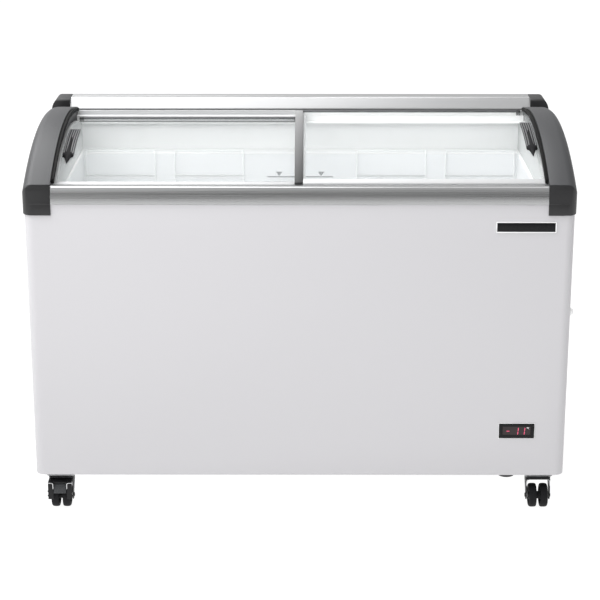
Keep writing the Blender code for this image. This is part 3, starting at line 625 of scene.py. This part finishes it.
def cap_solid(name, sign, material, inset=0.0, bottom=CAP_SKIRT, stations=56, levels=12):
    """The arch of an end cap, with an outer edge that rounds off sideways and to the front."""
    back, edge = CAP_BACK - inset, CAP_EDGE - inset
    across = [(CAP_INNER + inset, 0.0)]
    for angle in quarter(levels):
        across.append((CAP_OUTER - CAP_EDGE + edge * math.sin(angle), 1 - math.cos(angle)))
    loops = []
    for x, fall in across:
        front = inset + edge * fall
        loop = [at(sign * x, back, bottom), at(sign * x, front, bottom)]
        for i in range(stations + 1):
            depth = front + (back - front) * (i / stations) ** 1.3
            drop = CAP_DROP_FRONT + (CAP_DROP_BACK - CAP_DROP_FRONT) * depth / CAP_BACK
            loop.append(at(sign * x, depth, arch_height(depth, inset) - (drop - inset) * fall))
        loops.append(loop)
    bm = bmesh.new()
    loft(bm, loops)
    return bare_object(name, bm, [material])


def body_tool():
    """The painted body, a hair larger, to be cut out of what wraps over its top edge."""
    outline = rounded_outline(-BODY_HALF - GAP, BODY_HALF + GAP, BODY_FRONT - GAP, BODY_BACK + GAP,
                              BODY_CORNER + GAP, 0.004 + GAP)
    bm = bmesh.new()
    slab(bm, outline, BODY_BOTTOM - 0.02, BODY_TOP + GAP)
    return cutter(bm)


def lean_tool(shift):
    """What is cut off the upper part of a corner block, which leans back beside the rail."""
    lean = [(0.0006, 0.801), (0.0014, 0.8018), (0.0018, 0.81), (0.0027, 0.822), (0.004, 0.834),
            (0.0053, 0.8425), (0.0062, 0.85)]
    outline = [(-0.05, 0.801 + shift)] + [(d + shift, z + shift * 0.4) for d, z in lean]
    bm = bmesh.new()
    section(bm, outline + [(0.0062 + shift, 0.9), (-0.05, 0.9)], -0.7, 0.7)
    return cutter(bm)


def seam_tool(shift):
    """Everything in front of the seam between a corner block and its end cap."""
    slope = math.radians(30)
    along, square = Vector((math.sin(slope), -math.cos(slope))), Vector((math.cos(slope), math.sin(slope)))
    start = Vector((0.005, 0.8472)) + square * shift
    top, low = start - along * 0.08, start + along * 0.15
    bm = bmesh.new()
    section(bm, [tuple(top), (-0.1, top.y), (-0.1, low.y), tuple(low)], -0.7, 0.7)
    return cutter(bm)


def build_cap(side, sign):
    """The end cap and the corner block in front of it, cut from one hollow arch."""
    cap = cap_solid(side + "_cap", sign, CAP_PLASTIC)
    block = cap_solid(side + "_front_block", sign, BLOCK_PLASTIC)
    carve(block, [lean_tool(0.0)])
    for obj, operation, seam in ((block, "INTERSECT", 0.0), (cap, "DIFFERENCE", 0.0006)):
        hollow = cap_solid("tool", sign, CAP_PLASTIC, CAP_WALL, 0.77)
        if obj is block:
            carve(hollow, [lean_tool(CAP_WALL)])
        carve(obj, [hollow, body_tool()])
        carve(obj, [seam_tool(seam)], operation)
    for obj, node_end in ((cap, "_end_cap"), (block, "_front_corner")):
        piece(obj, "cabinet", "dark_plastic", side + node_end, bevel=0.0006, smooth_angle=32)


def build_rear_block(side, sign):
    """The block over the end of the rear rail, round towards the front and towards the side."""
    start = CAP_BACK + 0.0005
    crown = [(start, CAP_SKIRT)]
    crown += [(start + 0.007 * (1 - math.cos(a)), 0.934 + 0.007 * math.sin(a)) for a in quarter(6)]
    crown += [(0.64, 0.942), (0.653, 0.938), (0.6575, 0.931), (0.6594, 0.92), (0.6597, CAP_SKIRT)]
    bm = bmesh.new()
    section(bm, crown, *sided(sign, 0.6115, CAP_OUTER))
    block = bare_object(side + "_rear_block", bm, [BLOCK_PLASTIC])
    edge = [(0.634, 0.965), (0.634, 0.944)]
    edge += [(0.634 + 0.026 * math.sin(a), 0.91 + 0.033 * math.cos(a)) for a in quarter(12)]
    edge += [(0.69, 0.91), (0.69, 0.965)]
    bm = bmesh.new()
    panel(bm, [(sign * x, z) for x, z in edge], 0.55, 0.7)
    rounding = cutter(bm)
    hollow = box_cutter(*sided(sign, 0.6145, BODY_HALF), 0.578, 0.6565, 0.77, 0.905)
    carve(block, [rounding, body_tool(), hollow])
    piece(block, "cabinet", "dark_plastic", side + "_rear_corner", bevel=0.0008, smooth_angle=32)


def build_gasket(side, sign):
    """A rubber bulb along the inner edge of the cap, and a thinner fin beside it."""
    half = (CAP_INNER - GAP - GASKET_INNER) / 2
    bm = bmesh.new()
    for low, high, drop in ((0.0, 1.0, 0.002), (1.04, 2.0, 0.0035)):
        span = sided(sign, GASKET_INNER + half * low, GASKET_INNER + half * high)
        section(bm, arch_band(drop, 0.012, 0.026, 0.538), *span)
    new_piece(side + "_black_gasket", bm, [RUBBER], "cabinet", "black_rubber", side + "_gasket", bevel=0.0006)


def build_side_panel(side, sign):
    top = [(d, arch_height(d, 0.037)) for d in spread(0.0604, 0.532, 48)]
    outline = top + [(0.5322, 0.883), (0.5896, 0.883), (0.5896, 0.8031), (0.0604, 0.8031)]
    bm = bmesh.new()
    section(bm, outline, *sided(sign, 0.583, CAP_INNER - GAP))
    bead = arch_band(0.039, 0.045, 0.065, 0.53)           # along the upper edge
    section(bm, bead, *sided(sign, 0.581, 0.5829))
    new_piece(side + "_inner_side_panel", bm, [LINER_GREY], "cabinet", "grey_plastic", side + "_side_liner",
              bevel=0.0004)


# ---------- sliding lids
LEFT_BAR = (LID_OVERLAP - 0.012, LID_OVERLAP)
LID_PARTS = {
    "left": {
        "ends": (-LID_END, LID_OVERLAP), "bar": LEFT_BAR, "pane": (-LID_END, LEFT_BAR[0] - GAP),
        "glass": LOWER_GLASS, "band": (0.0205, 0.0355), "light": RUNNER_GREY, "bar_paint": RUNNER_GREY,
        "front": [(0.0425, 0.8255), (0.0565, 0.8255), (0.0565, 0.843), (0.048, 0.84), (0.0425, 0.8355)],
        "rear": (0.533, 0.546), "levels": (0.8866, 0.8905, 0.8948, 0.8992), "tones": (0, 1, 0),
        "stops": {"outer": (-LID_END + 0.0004, -LID_END + 0.012),
                  "inner": (LEFT_BAR[0] - 0.018, LEFT_BAR[0] - 0.0004)},
    },
    "right": {
        "ends": (BAR[0], LID_END), "bar": BAR, "pane": (BAR[1] + GAP, LID_END),
        "glass": UPPER_GLASS, "band": (0.009, 0.018), "light": WHITE_PLASTIC, "bar_paint": BAR_METAL,
        "front": [(0.0245, 0.838), (0.0385, 0.838), (0.0385, 0.8545), (0.03, 0.8515), (0.0245, 0.847)],
        "rear": (0.5485, 0.5622), "levels": (0.9018, 0.9102, 0.914), "tones": (1, 0),
        "stops": {"outer": (LID_END - 0.012, LID_END - 0.0004)},
    },
}


def build_lid(side):
    """A curved pane with its front runner, striped rear runner, meeting bar and stops."""
    lid, body = LID_PARTS[side], side + "_lid"
    front, levels, (rear0, rear1) = lid["front"], lid["levels"], lid["rear"]
    pane = arch_band(lid["glass"], lid["glass"] + GLASS, front[1][0] + GAP, rear0 - GAP, 72)
    from_section(side + "_glass_pane", pane, *lid["pane"], GLASS_PANE, body, "clear_glass",
                 side + "_lid_glass", bevel=0.0008)
    from_section(side + "_front_runner", front, *lid["pane"], RUNNER_GREY, body, "white_trim", bevel=0.0008)
    bm = bmesh.new()
    for low, high, tone in zip(levels, levels[1:], lid["tones"]):
        start, top = rear0 + 0.0006 * tone, high - 0.0002    # the light stripe stands back a little
        section(bm, [(start, low), (rear1, low), (rear1, top), (start, top)], *lid["ends"], tone)
    new_piece(side + "_rear_runner", bm, [FRAME_PLASTIC, lid["light"]], body, "dark_plastic", bevel=0.0003)
    strip = arch_band(*lid["band"], front[0][0] + 0.001, rear0 - 0.0005)
    from_section(side + "_meeting_bar", strip, *lid["bar"], lid["bar_paint"], body, "dark_plastic",
                 side + "_lid_frame", bevel=0.001)
    for name, span in lid["stops"].items():
        bm = bmesh.new()
        add_box(bm, *span, rear0 - 0.0008, rear1 - 0.0004, levels[0] + 0.0004, levels[0] + 0.0128)
        new_piece(f"{side}_lid_{name}_stop", bm, [BLOCK_PLASTIC], body, "black_plastic", bevel=0.0008)


def build_ribbed_strip(side, sign):
    """A ribbed strip under the outer end of the pane."""
    offset = LID_PARTS[side]["glass"] - GAP
    bm = bmesh.new()
    base = arch_band(offset - 0.0016, offset, HANDLE_FROM, HANDLE_TO, 24)
    section(bm, base, *sided(sign, HANDLE_INNER, HANDLE_OUTER))
    ribs = 5
    pitch = (HANDLE_OUTER - HANDLE_INNER) / ribs
    ridge = arch_band(offset - 0.0033, offset - 0.0014, HANDLE_FROM + 0.002, HANDLE_TO - 0.002, 24)
    for k in range(ribs):
        start = HANDLE_INNER + pitch * (k + 0.22)
        section(bm, ridge, *sided(sign, start, start + pitch * 0.5), 1)
    new_piece(side + "_ribbed_strip", bm, [GRIP_BLACK, HANDLE_GREY], side + "_lid", "black_plastic",
              bevel=0.0004)


def build_finger_grip(side, sign):
    """The black grip on the strip: half widths and heights along its length, under an arched back."""
    offset = LID_PARTS[side]["glass"] - GAP
    middle = sign * (HANDLE_INNER + HANDLE_OUTER) / 2
    loops = []
    stations = ((0.125, 0.0012, 0.0036), (0.132, 0.0026, 0.0042), (0.141, 0.0052, 0.0056),
                (0.15, 0.008, 0.0074), (0.153, 0.0128, 0.0086), (0.16, 0.013, 0.0088),
                (0.164, 0.007, 0.0088), (0.17, 0.0052, 0.0086), (0.19, 0.0042, 0.008),
                (0.215, 0.003, 0.0068), (0.24, 0.0018, 0.0054), (0.252, 0.0006, 0.0042))
    for depth, half, height in stations:
        low = arch_height(depth, offset if depth < HANDLE_FROM else offset - 0.002)
        high = arch_height(depth, offset - height)
        ring = []
        for k in range(13):
            angle = math.pi * k / 12
            ring.append(at(middle + half * math.cos(angle), depth,
                           low + 0.0006 + (high - low - 0.0006) * math.sin(angle) ** 0.7))
        loops.append(ring + [at(middle - half, depth, low), at(middle + half, depth, low)])
    bm = bmesh.new()
    loft(bm, loops)
    new_piece(side + "_finger_grip", bm, [GRIP_BLACK], side + "_lid", "black_plastic", side + "_lid_handle",
              smooth_angle=50)


# ---------- load line, baskets
def build_load_line():
    """A thin strip on the back wall with a line and two triangles that point down at it."""
    face, printed = TANK_BACK - GAP, 0.0003
    front = face - 0.0005
    bm = bmesh.new()
    add_box(bm, -0.093, 0.093, front, face, LOAD_LINE - 0.012, LOAD_LINE + 0.016)
    add_box(bm, -0.088, 0.088, front - printed, front, LOAD_LINE - 0.0015, LOAD_LINE + 0.0015, 1)
    for centre in (-0.056, 0.056):
        mark = [(centre, LOAD_LINE + 0.002), (centre - 0.0085, LOAD_LINE + 0.014),
                (centre + 0.0085, LOAD_LINE + 0.014)]
        panel(bm, mark, front - printed, front, 1)
    new_piece("load_line_mark", bm, [LINER, LINE_PRINT], "cabinet", "printed_label", "load_line_label")


def build_basket(name, centre):
    """Welded wire basket: a heavy rim and hooks, lighter uprights that turn under to form the floor."""
    heavy, light = 0.0022, 0.0014
    x0, x1 = centre - BASKET_WIDTH / 2 + heavy, centre + BASKET_WIDTH / 2 - heavy
    d0, d1 = TANK_FRONT + 0.004 + heavy, TANK_BACK - 0.004 - heavy
    rim, floor = BASKET_RIM - heavy, BASKET_FLOOR + heavy
    bm = bmesh.new()

    def ring(z, inset, radius):
        left, right, front, back = x0 + inset, x1 - inset, d0 + inset, d1 - inset
        corners = [at(left, front, z), at(right, front, z), at(right, back, z), at(left, back, z)]
        start = (corners[0] + corners[3]) / 2
        tube(bm, filleted([start, *corners, start], 0.014, 6), radius)

    def cradle(start, end, base):
        """A wire that hangs from the rim, crosses the floor and comes up again."""
        top = rim - 0.001
        path = [at(*start, top), at(*start, base), at(*end, base), at(*end, top)]
        tube(bm, filleted(path, 0.012, 4), light, 6)

    ring(rim, 0.0, heavy)
    for z in (0.655, 0.605, 0.56):
        ring(z, 0.0006, light)
    ring(floor + 0.0012, 0.003, light)
    for depth in spread(d0, d1, 16)[1:-1]:
        cradle((x0 + 0.002, depth), (x1 - 0.002, depth), floor)
    for x in spread(x0, x1, 7)[1:-1]:
        cradle((x, d0 + 0.002), (x, d1 - 0.002), floor + 0.0026)
    left, right, top = x0 + 0.004, x1 - 0.004, HOOK_Z + heavy + 0.0004
    for end, lip, brace in ((d0, TANK_FRONT - 0.0045, d0 + 0.0008), (d1, TANK_BACK + 0.0065, d1 - 0.0008)):
        path = [at(left, end, rim), at(left, end, top), at(left, lip, top), at(right, lip, top),
                at(right, end, top), at(right, end, rim)]
        tube(bm, filleted(path, 0.008, 5), heavy)
        # The end brace takes the grey runner plastic instead of the white wire coating: painted shade along
        # that line.
        tube(bm, [at(left, brace, BASKET_BRACE), at(right, brace, BASKET_BRACE)], heavy, 8, 1)
    new_piece(name + "_wire_basket", bm, [WIRE, RUNNER_GREY], name + "_basket", "coated_wire",
              name + "_basket", smooth_angle=60)


# ---------- casters
def build_top_plate(name, x, depth):
    """The plate with its raised race and four bolts."""
    outline = rounded_outline(x - PLATE_HALF, x + PLATE_HALF, depth - PLATE_HALF, depth + PLATE_HALF,
                              0.006, 0.006, 5)
    bm = bmesh.new()
    slab(bm, outline, PLATE_LOW, CASTER_TOP)
    plate = bare_object(name + "_top_plate", bm, [CASTER_METAL])
    tools = []
    for across, back in BOLTS:
        bm = bmesh.new()
        lathe(bm, [(0, -0.006), (0.0032, -0.006), (0.0032, 0.006), (0, 0.006)],
              at(x + across, depth + back, PLATE_LOW), (0, 0, 1), 20)
        tools.append(cutter(bm))
    carve(plate, tools)
    bm = bmesh.new()
    bm.from_mesh(plate.data)
    race = [(0, -0.0028), (0.015, -0.0028), (0.0172, -0.0022), (0.018, -0.0008), (0.0184, 0.0002),
            (0, 0.0002)]
    lathe(bm, race, at(x, depth, PLATE_LOW), (0, 0, 1), 36)
    bolt = [(0, -0.003), (0.0034, -0.003), (0.0042, -0.0022), (0.0042, 0.0002), (0, 0.0002)]
    for across, back in BOLTS:
        lathe(bm, bolt, at(x + across, depth + back, PLATE_LOW), (0, 0, 1), 6)
    bm.to_mesh(plate.data)
    bm.free()
    piece(plate, "cabinet", "black_steel", name + "_plate", bevel=0.0004)


def add_bright_edges(bm, x, depth):
    """The rolled front edge of each fork leg."""
    front = depth - 0.0262
    for sign in (-1, 1):
        path = [(0.0075, WEB_LOW + 0.0006), (0.0016, WEB_LOW - 0.001), (0.001, WEB_LOW - 0.008),
                (0.001, 0.0585)]
        points = [at(x + sign * (FORK_HALF - inset), front, z) for inset, z in path]
        tube(bm, filleted(points, 0.004, 5), 0.001, 8, 1)


def add_hood(bm, x, depth):
    """The roof and the cheeks round the brake pedal, with bright trims and small lugs."""
    lip = depth - CASTER_TRAIL - WHEEL_RADIUS - 0.002
    back, top = depth - 0.02, WEB_TOP - 0.0004
    roof = [(back, top), (lip + 0.003, top), (lip + 0.003, WEB_LOW - 0.0014),
            (lip + 0.0042, WEB_LOW - 0.0014), (lip + 0.0052, WEB_LOW), (back, WEB_LOW)]
    section(bm, roof, x - 0.017, x + 0.017)
    cheek = [(back, top), (lip + 0.006, top), (lip + 0.0012, WEB_TOP - 0.003),
             (lip - 0.0006, WEB_TOP - 0.011), (lip - 0.0006, 0.033), (lip + 0.0004, 0.03),
             (lip + 0.0012, 0.03), (lip + 0.0012, WEB_TOP - 0.012), (lip + 0.004, WEB_TOP - 0.006),
             (lip + 0.007, WEB_LOW), (back, WEB_LOW)]
    for sign in (-1, 1):
        outer, inner = x + sign * FORK_HALF, x + sign * 0.0166
        section(bm, cheek, *sorted((outer, inner)))
        trim = [at(outer + sign * 0.0012, lip - 0.0008, WEB_TOP - 0.002),
                at(inner + sign * 0.001, lip - 0.0008, WEB_TOP - 0.0026),
                at(inner + sign * 0.0006, lip - 0.0012, WEB_TOP - 0.018)]
        tube(bm, filleted(trim, 0.004, 6), 0.0011, 8, 1)
        for z in (0.05, 0.038):
            add_box(bm, *sorted((outer, outer + sign * 0.0016)), lip, lip + 0.003, z, z + 0.003)


def build_fork(name, x, depth, braked):
    """The web and the two legs, with race balls, king nut and riveted axle ends."""
    axle_depth = depth - CASTER_TRAIL
    bm = bmesh.new()
    slab(bm, rounded_outline(x - FORK_HALF, x + FORK_HALF, depth - 0.026, depth + 0.022, 0.004, 0.01, 5),
         WEB_LOW, WEB_TOP)
    leg = [(depth - 0.026, WEB_TOP - 0.0002), (depth + 0.016, WEB_TOP - 0.0002), (depth + 0.015, 0.062),
           (axle_depth + 0.0125, 0.038)]
    for degrees in range(20, -201, -20):                      # round the axle
        angle = math.radians(degrees)
        leg.append((axle_depth + 0.0115 * math.cos(angle), WHEEL_RADIUS + 0.0115 * math.sin(angle)))
    leg += [(axle_depth - 0.0125, 0.038), (depth - 0.026, 0.058)]
    for edge in (-FORK_HALF, FORK_HALF - 0.002):
        section(bm, leg, x + edge, x + edge + 0.002)
    for k in range(24):                                       # race balls
        angle = 2 * math.pi * k / 24
        spot = at(x + 0.0165 * math.cos(angle), depth + 0.0165 * math.sin(angle), WEB_TOP + 0.0012)
        place = Matrix.Translation(spot)
        bmesh.ops.create_uvsphere(bm, u_segments=8, v_segments=6, radius=0.0012, matrix=place)
    nut = [(0, -0.0044), (0.006, -0.0044), (0.0068, -0.0034), (0.0068, 0), (0, 0)]
    lathe(bm, nut, at(x, depth, WEB_LOW + 0.0002), (0, 0, 1), 6)
    rivet = [(0, FORK_HALF - 0.0016), (0.0062, FORK_HALF - 0.0016), (0.0062, FORK_HALF + 0.0004),
             (0.0044, FORK_HALF + 0.0024), (0, FORK_HALF + 0.0026)]
    lathe_pair(bm, rivet, at(x, axle_depth, WHEEL_RADIUS), 24)
    if braked:
        add_hood(bm, x, depth)
    else:
        add_bright_edges(bm, x, depth)
    new_piece(name + "_swivel_fork", bm, [BLACK_STEEL, CHROME], name, "black_steel", name + "_fork",
              bevel=0.0003)


def build_wheels(name, x, depth):
    """Two wheels with rubber treads on one axle, with lugs that show the spin."""
    inner, outer = WHEEL_GAP / 2, WHEEL_GAP / 2 + WHEEL_WIDTH
    axle = at(x, depth - CASTER_TRAIL, WHEEL_RADIUS)
    bm = bmesh.new()
    tread = [(0.0225, inner + 0.0006), (0.0262, inner), (0.0282, inner + 0.0006), (0.0296, inner + 0.0028),
             (0.03, inner + 0.006), (0.03, outer - 0.007), (0.0294, outer - 0.003), (0.0278, outer - 0.0008),
             (0.026, outer), (0.0225, outer - 0.0006)]
    disc = [(0.004, inner + 0.0022), (0.008, inner + 0.0022), (0.01, inner + 0.004), (0.0195, inner + 0.005),
            (0.0226, inner + 0.0018), (0.0226, outer - 0.0018), (0.0205, outer - 0.0042),
            (0.011, outer - 0.003), (0.0092, outer - 0.0004), (0.008, outer + 0.0004),
            (0.004, outer + 0.0004)]
    cap = [(0, outer - 0.001), (0.0042, outer - 0.001), (0.0042, outer + 0.0018), (0.003, outer + 0.0026),
           (0, outer + 0.0026)]
    spacer = [(0.0036, -inner - 0.002), (0.0105, -inner - 0.002), (0.0095, 0), (0.0105, inner + 0.002),
              (0.0036, inner + 0.002)]
    lathe_pair(bm, tread, axle, 48)
    lathe_pair(bm, disc, axle, 48, 1)
    lathe_pair(bm, cap, axle, 20, 2)
    lathe(bm, [(0, -outer), (0.003, -outer), (0.003, outer), (0, outer)], axle, (1, 0, 0), 20, 2)
    lathe(bm, spacer, axle, (1, 0, 0), 32, 1)
    lug = Matrix.Diagonal((0.002, 0.0018, 0.008, 1))
    for sign in (-1, 1):
        for k in range(8):
            spot = Matrix.Translation((sign * (outer - 0.0034), 0, 0.0152))
            turn = Matrix.Rotation(2 * math.pi * k / 8, 4, "X")
            bmesh.ops.create_cube(bm, size=1.0, matrix=Matrix.Translation(axle) @ turn @ spot @ lug)
    new_piece(name + "_twin_wheels", bm, [TYRE, HUB_PLASTIC, CHROME], name.replace("_caster", "_wheels"),
              "wheel_rubber", name + "_wheels")


def build_pedal(name, x, depth):
    """A curved pedal with grip bars across it."""
    hinge_depth, hinge_z = depth - CASTER_TRAIL - 0.01, WEB_LOW - 0.0035
    pedal = [(0.0, -0.0019), (0.0008, 0.0), (0.0, 0.0018), (-0.005, 0.001), (-0.012, -0.002),
             (-0.019, -0.009), (-0.0265, -0.0195), (-0.0284, -0.0215), (-0.028, -0.0224),
             (-0.0256, -0.0222), (-0.018, -0.0125), (-0.011, -0.0055), (-0.005, -0.0024)]
    bar = [(0.0, 0.0), (-0.0012, -0.0016), (-0.0018, -0.001), (-0.0008, 0.0006)]
    bm = bmesh.new()
    section(bm, [(hinge_depth + d, hinge_z + z) for d, z in pedal], x - 0.0155, x + 0.0155)
    for k in range(4):
        start, top = hinge_depth - 0.015 - 0.003 * k, hinge_z - 0.0049 - 0.0041 * k
        section(bm, [(start + d, top + z) for d, z in bar], x - 0.0125, x + 0.0125)
    new_piece(name + "_foot_brake", bm, [PEDAL_GREY], "brake_pedal", "grey_plastic", name + "_brake_pedal",
              bevel=0.0005)


# ---------- fittings
SEGMENTS = {"-": "g", "1": "bc"}


def add_plate(bm, x0, x1, z0, z1, d0, d1, material=0):
    add_box(bm, x0, x1, d0, d1, z0, z1, material)


def frame_ring(bm, x0, x1, z0, z1, border, d0, d1, material=0):
    """An upright rectangular frame, with its border inside the given box."""
    foot, head = z0 + border, z1 - border
    for box in ((x0, x1, z0, foot), (x0, x1, head, z1), (x0, x0 + border, foot, head),
                (x1 - border, x1, foot, head)):
        add_plate(bm, *box, d0, d1, material)


def digit(bm, x, z, width, height, shown, material):
    """A leaning seven-segment figure whose lower left corner is at x, z."""
    stroke, lean, gap = width * 0.2, 0.1, width * 0.05
    half = height / 2
    bars = {"b": (width, half, width, height), "c": (width, 0, width, half), "g": (0, half, width, half)}
    for key in SEGMENTS[shown]:
        ax, az, bx, bz = bars[key]
        along = Vector((bx - ax, bz - az)).normalized()
        across = Vector((-along.y, along.x)) * stroke / 2
        start, stop = Vector((ax, az)) + along * gap, Vector((bx, bz)) - along * gap
        tip = along * stroke / 2
        outline = [start, start + tip + across, stop - tip + across, stop, stop - tip - across,
                   start + tip - across]
        panel(bm, [(x + p.x + lean * p.y, z + p.y) for p in outline], 0.0013, 0.0018, material)


def build_badge():
    """A blank plate with a light rim."""
    front = BODY_FRONT - GAP
    bm = bmesh.new()
    add_plate(bm, 0.47, 0.609, 0.7336, 0.7557, 0.0016, front)
    frame_ring(bm, 0.4678, 0.6112, 0.7314, 0.7579, 0.0022, 0.0012, front, 1)
    new_piece("blank_badge", bm, [GLOSS_BLACK, WHITE_PLASTIC], "cabinet", "black_gloss", "badge_plate",
              bevel=0.0003)


def build_display():
    """The surround of the readout, and its window with a number and a small unit mark."""
    front = BODY_FRONT - GAP
    bm = bmesh.new()
    frame_ring(bm, 0.4916, 0.5784, 0.2058, 0.2444, 0.008, 0.001, front)
    add_plate(bm, 0.497, 0.573, 0.2105, 0.2395, 0.0044, 0.04)
    frame_ring(bm, 0.4907, 0.5793, 0.2049, 0.2453, 0.0009, 0.0014, front, 1)
    new_piece("display_surround", bm, [GLOSS_BLACK, WHITE_PLASTIC], "cabinet", "black_gloss", "display_bezel",
              bevel=0.0003)
    shown_from, shown_to = 0.0013, 0.0018
    bm = bmesh.new()
    add_plate(bm, 0.5003, 0.5697, 0.2133, 0.2367, shown_to, 0.0042)
    for x, shown in ((0.5085, "-"), (0.529, "1"), (0.545, "1")):
        digit(bm, x, 0.215, 0.0088, 0.019, shown, 1)
    frame_ring(bm, 0.56, 0.5626, 0.2322, 0.2348, 0.0007, shown_from, shown_to, 2)
    for box in ((0.5634, 0.566, 0.234, 0.2347), (0.5634, 0.5641, 0.2312, 0.234),
                (0.5634, 0.566, 0.2305, 0.2312)):
        add_plate(bm, *box, shown_from, shown_to, 2)
    new_piece("temperature_readout", bm, [LENS, LED, WHITE_PLASTIC], "cabinet", "display_window",
              "display_lens")


def build_plugs():
    """The turned parts: a plug in the right side, the drain cap and the bushing of the cord."""
    plug = [(0, 0), (0.0118, 0), (0.0118, 0.0012), (0.0112, 0.003), (0.0092, 0.0046), (0.0072, 0.006),
            (0.0066, 0.0088), (0.0056, 0.0097), (0, 0.0097)]
    bm = bmesh.new()
    lathe(bm, plug, at(BODY_HALF + GAP, 0.048, 0.52), (1, 0, 0))
    new_piece("side_hole_plug", bm, [WHITE_PLASTIC], "cabinet", "light_plastic", "side_plug", bevel=0.0002)
    drain = [(0, -0.012), (0.015, -0.012), (0.0158, -0.016), (0.0202, -0.016), (0.021, -0.0152),
             (0.021, -0.008), (0.0196, -0.007), (0.0196, -0.004), (0.021, -0.003), (0.021, 0), (0, 0)]
    bm = bmesh.new()
    lathe(bm, drain, at(0.518, 0.05, BODY_BOTTOM - GAP), (0, 0, 1))
    new_piece("drain_plug", bm, [BLOCK_PLASTIC], "cabinet", "black_plastic", "drain_outlet")
    bushing = [(0, 0), (0.011, 0), (0.011, 0.001), (0.01, 0.0022), (0.007, 0.0032), (0.0046, 0.0032),
               (0.0042, 0.0016), (0, 0.0016)]
    bm = bmesh.new()
    lathe(bm, bushing, at(0.3, BODY_BACK + GAP, 0.16), (0, 1, 0), 36)
    new_piece("cord_bushing", bm, [RUBBER], "cabinet", "black_plastic", "cord_gland")


def build_grille(name, node_name, place, axis, thick, span, rise, border, slats, nose, posts=()):
    """A framed plate with slats that slope down and out, and a screw in each corner.

    place(u, out, z) turns a place along the plate, a height over the wall and z into cabinet coordinates.
    """
    (u0, u1), (z0, z1) = span, rise
    side, foot, head = 0.02, z0 + border, z1 - border
    bm = bmesh.new()
    for left, right, low, high in ((u0, u1, z0, foot), (u0, u1, head, z1), (u0, u0 + side, foot, head),
                                   (u1 - side, u1, foot, head), *((a, b, foot, head) for a, b in posts)):
        (x0, d0, _), (x1, d1, _) = place(left, 0, low), place(right, thick, high)
        add_box(bm, x0, x1, d0, d1, low, high)
    for z in spread(foot, head, slats)[:-1]:
        slat = ((0, z + 0.0135), (0.0006, z + 0.015), (thick - 0.0002, z + 0.0026), (thick - nose, z + 0.001))
        ends = (u0 + side - 0.001, u1 - side + 0.001)
        loft(bm, [[at(*place(u, out, height)) for out, height in slat] for u in ends])
    screw = [(0, 0), (0.0036, 0), (0.0028, 0.0008), (0, 0.0009)]
    for u in (u0 + side / 2, u1 - side / 2):
        for z in (z0 + border / 2, z1 - border / 2):
            lathe(bm, screw, at(*place(u, thick - 0.001, z)), axis, 20, 1)
    new_piece(name, bm, [ENAMEL, CHROME], "cabinet", "white_enamel", node_name, bevel=0.0003)


def build_grilles():
    build_grille("side_louvres", "side_grille", lambda u, out, z: (BODY_HALF + GAP + out, u, z), (1, 0, 0),
                 thick=0.0027, span=(0.13, 0.51), rise=(0.13, 0.41), border=0.016, slats=12, nose=0.0006)
    build_grille("rear_louvres", "rear_grille", lambda u, out, z: (u, BODY_BACK + GAP + out, z), (0, 1, 0),
                 thick=0.0037, span=(0.325, 0.635), rise=(0.125, 0.425), border=0.018, slats=13, nose=0.0008,
                 posts=((0.476, 0.484),))


def build_channel(side, sign):
    """A folded steel channel that opens upwards, under one side of the base."""
    low, top = CASTER_TOP + GAP, BODY_BOTTOM - GAP
    half, wall, fold = 0.035, 0.002, 0.003
    outer = [(-half, top), (-half, low + fold), (-half + fold * 0.3, low + fold * 0.3), (-half + fold, low)]
    inner = [(half - wall, top), (half - wall, low + wall)]
    bm = bmesh.new()
    panel(bm, [(sign * CASTER_X + x, z) for x, z in with_mirror(outer) + with_mirror(inner)], 0.052, 0.616)
    new_piece(side + "_folded_channel", bm, [CHANNEL_PAINT], "cabinet", "zinc_steel", side + "_base_channel")


def build_caster(name, sign, depth):
    x, braked = sign * CASTER_X, name == "front_left_caster"
    build_top_plate(name, x, depth)
    build_fork(name, x, depth, braked)
    build_wheels(name, x, depth)
    if braked:
        build_pedal(name, x, depth)


build_camera()
build_floor()
build_world()
build_lights()
build_shell()
build_front_rail()
build_rear_rail()
build_header()
build_load_line()
build_badge()
build_display()
build_plugs()
build_grilles()
SIDES = (("left", -1), ("right", 1))
for side_name, side_sign in SIDES:
    build_channel(side_name, side_sign)
for side_name, side_sign in SIDES:
    build_cap(side_name, side_sign)
    build_rear_block(side_name, side_sign)
    build_gasket(side_name, side_sign)
    build_side_panel(side_name, side_sign)
    build_lid(side_name)
    build_ribbed_strip(side_name, side_sign)
    build_finger_grip(side_name, side_sign)
    for row, caster_depth in (("front", 0.075), ("rear", 0.585)):
        build_caster(f"{row}_{side_name}_caster", side_sign, caster_depth)
for basket_name, basket_centre in BASKETS.items():
    build_basket(basket_name, basket_centre)
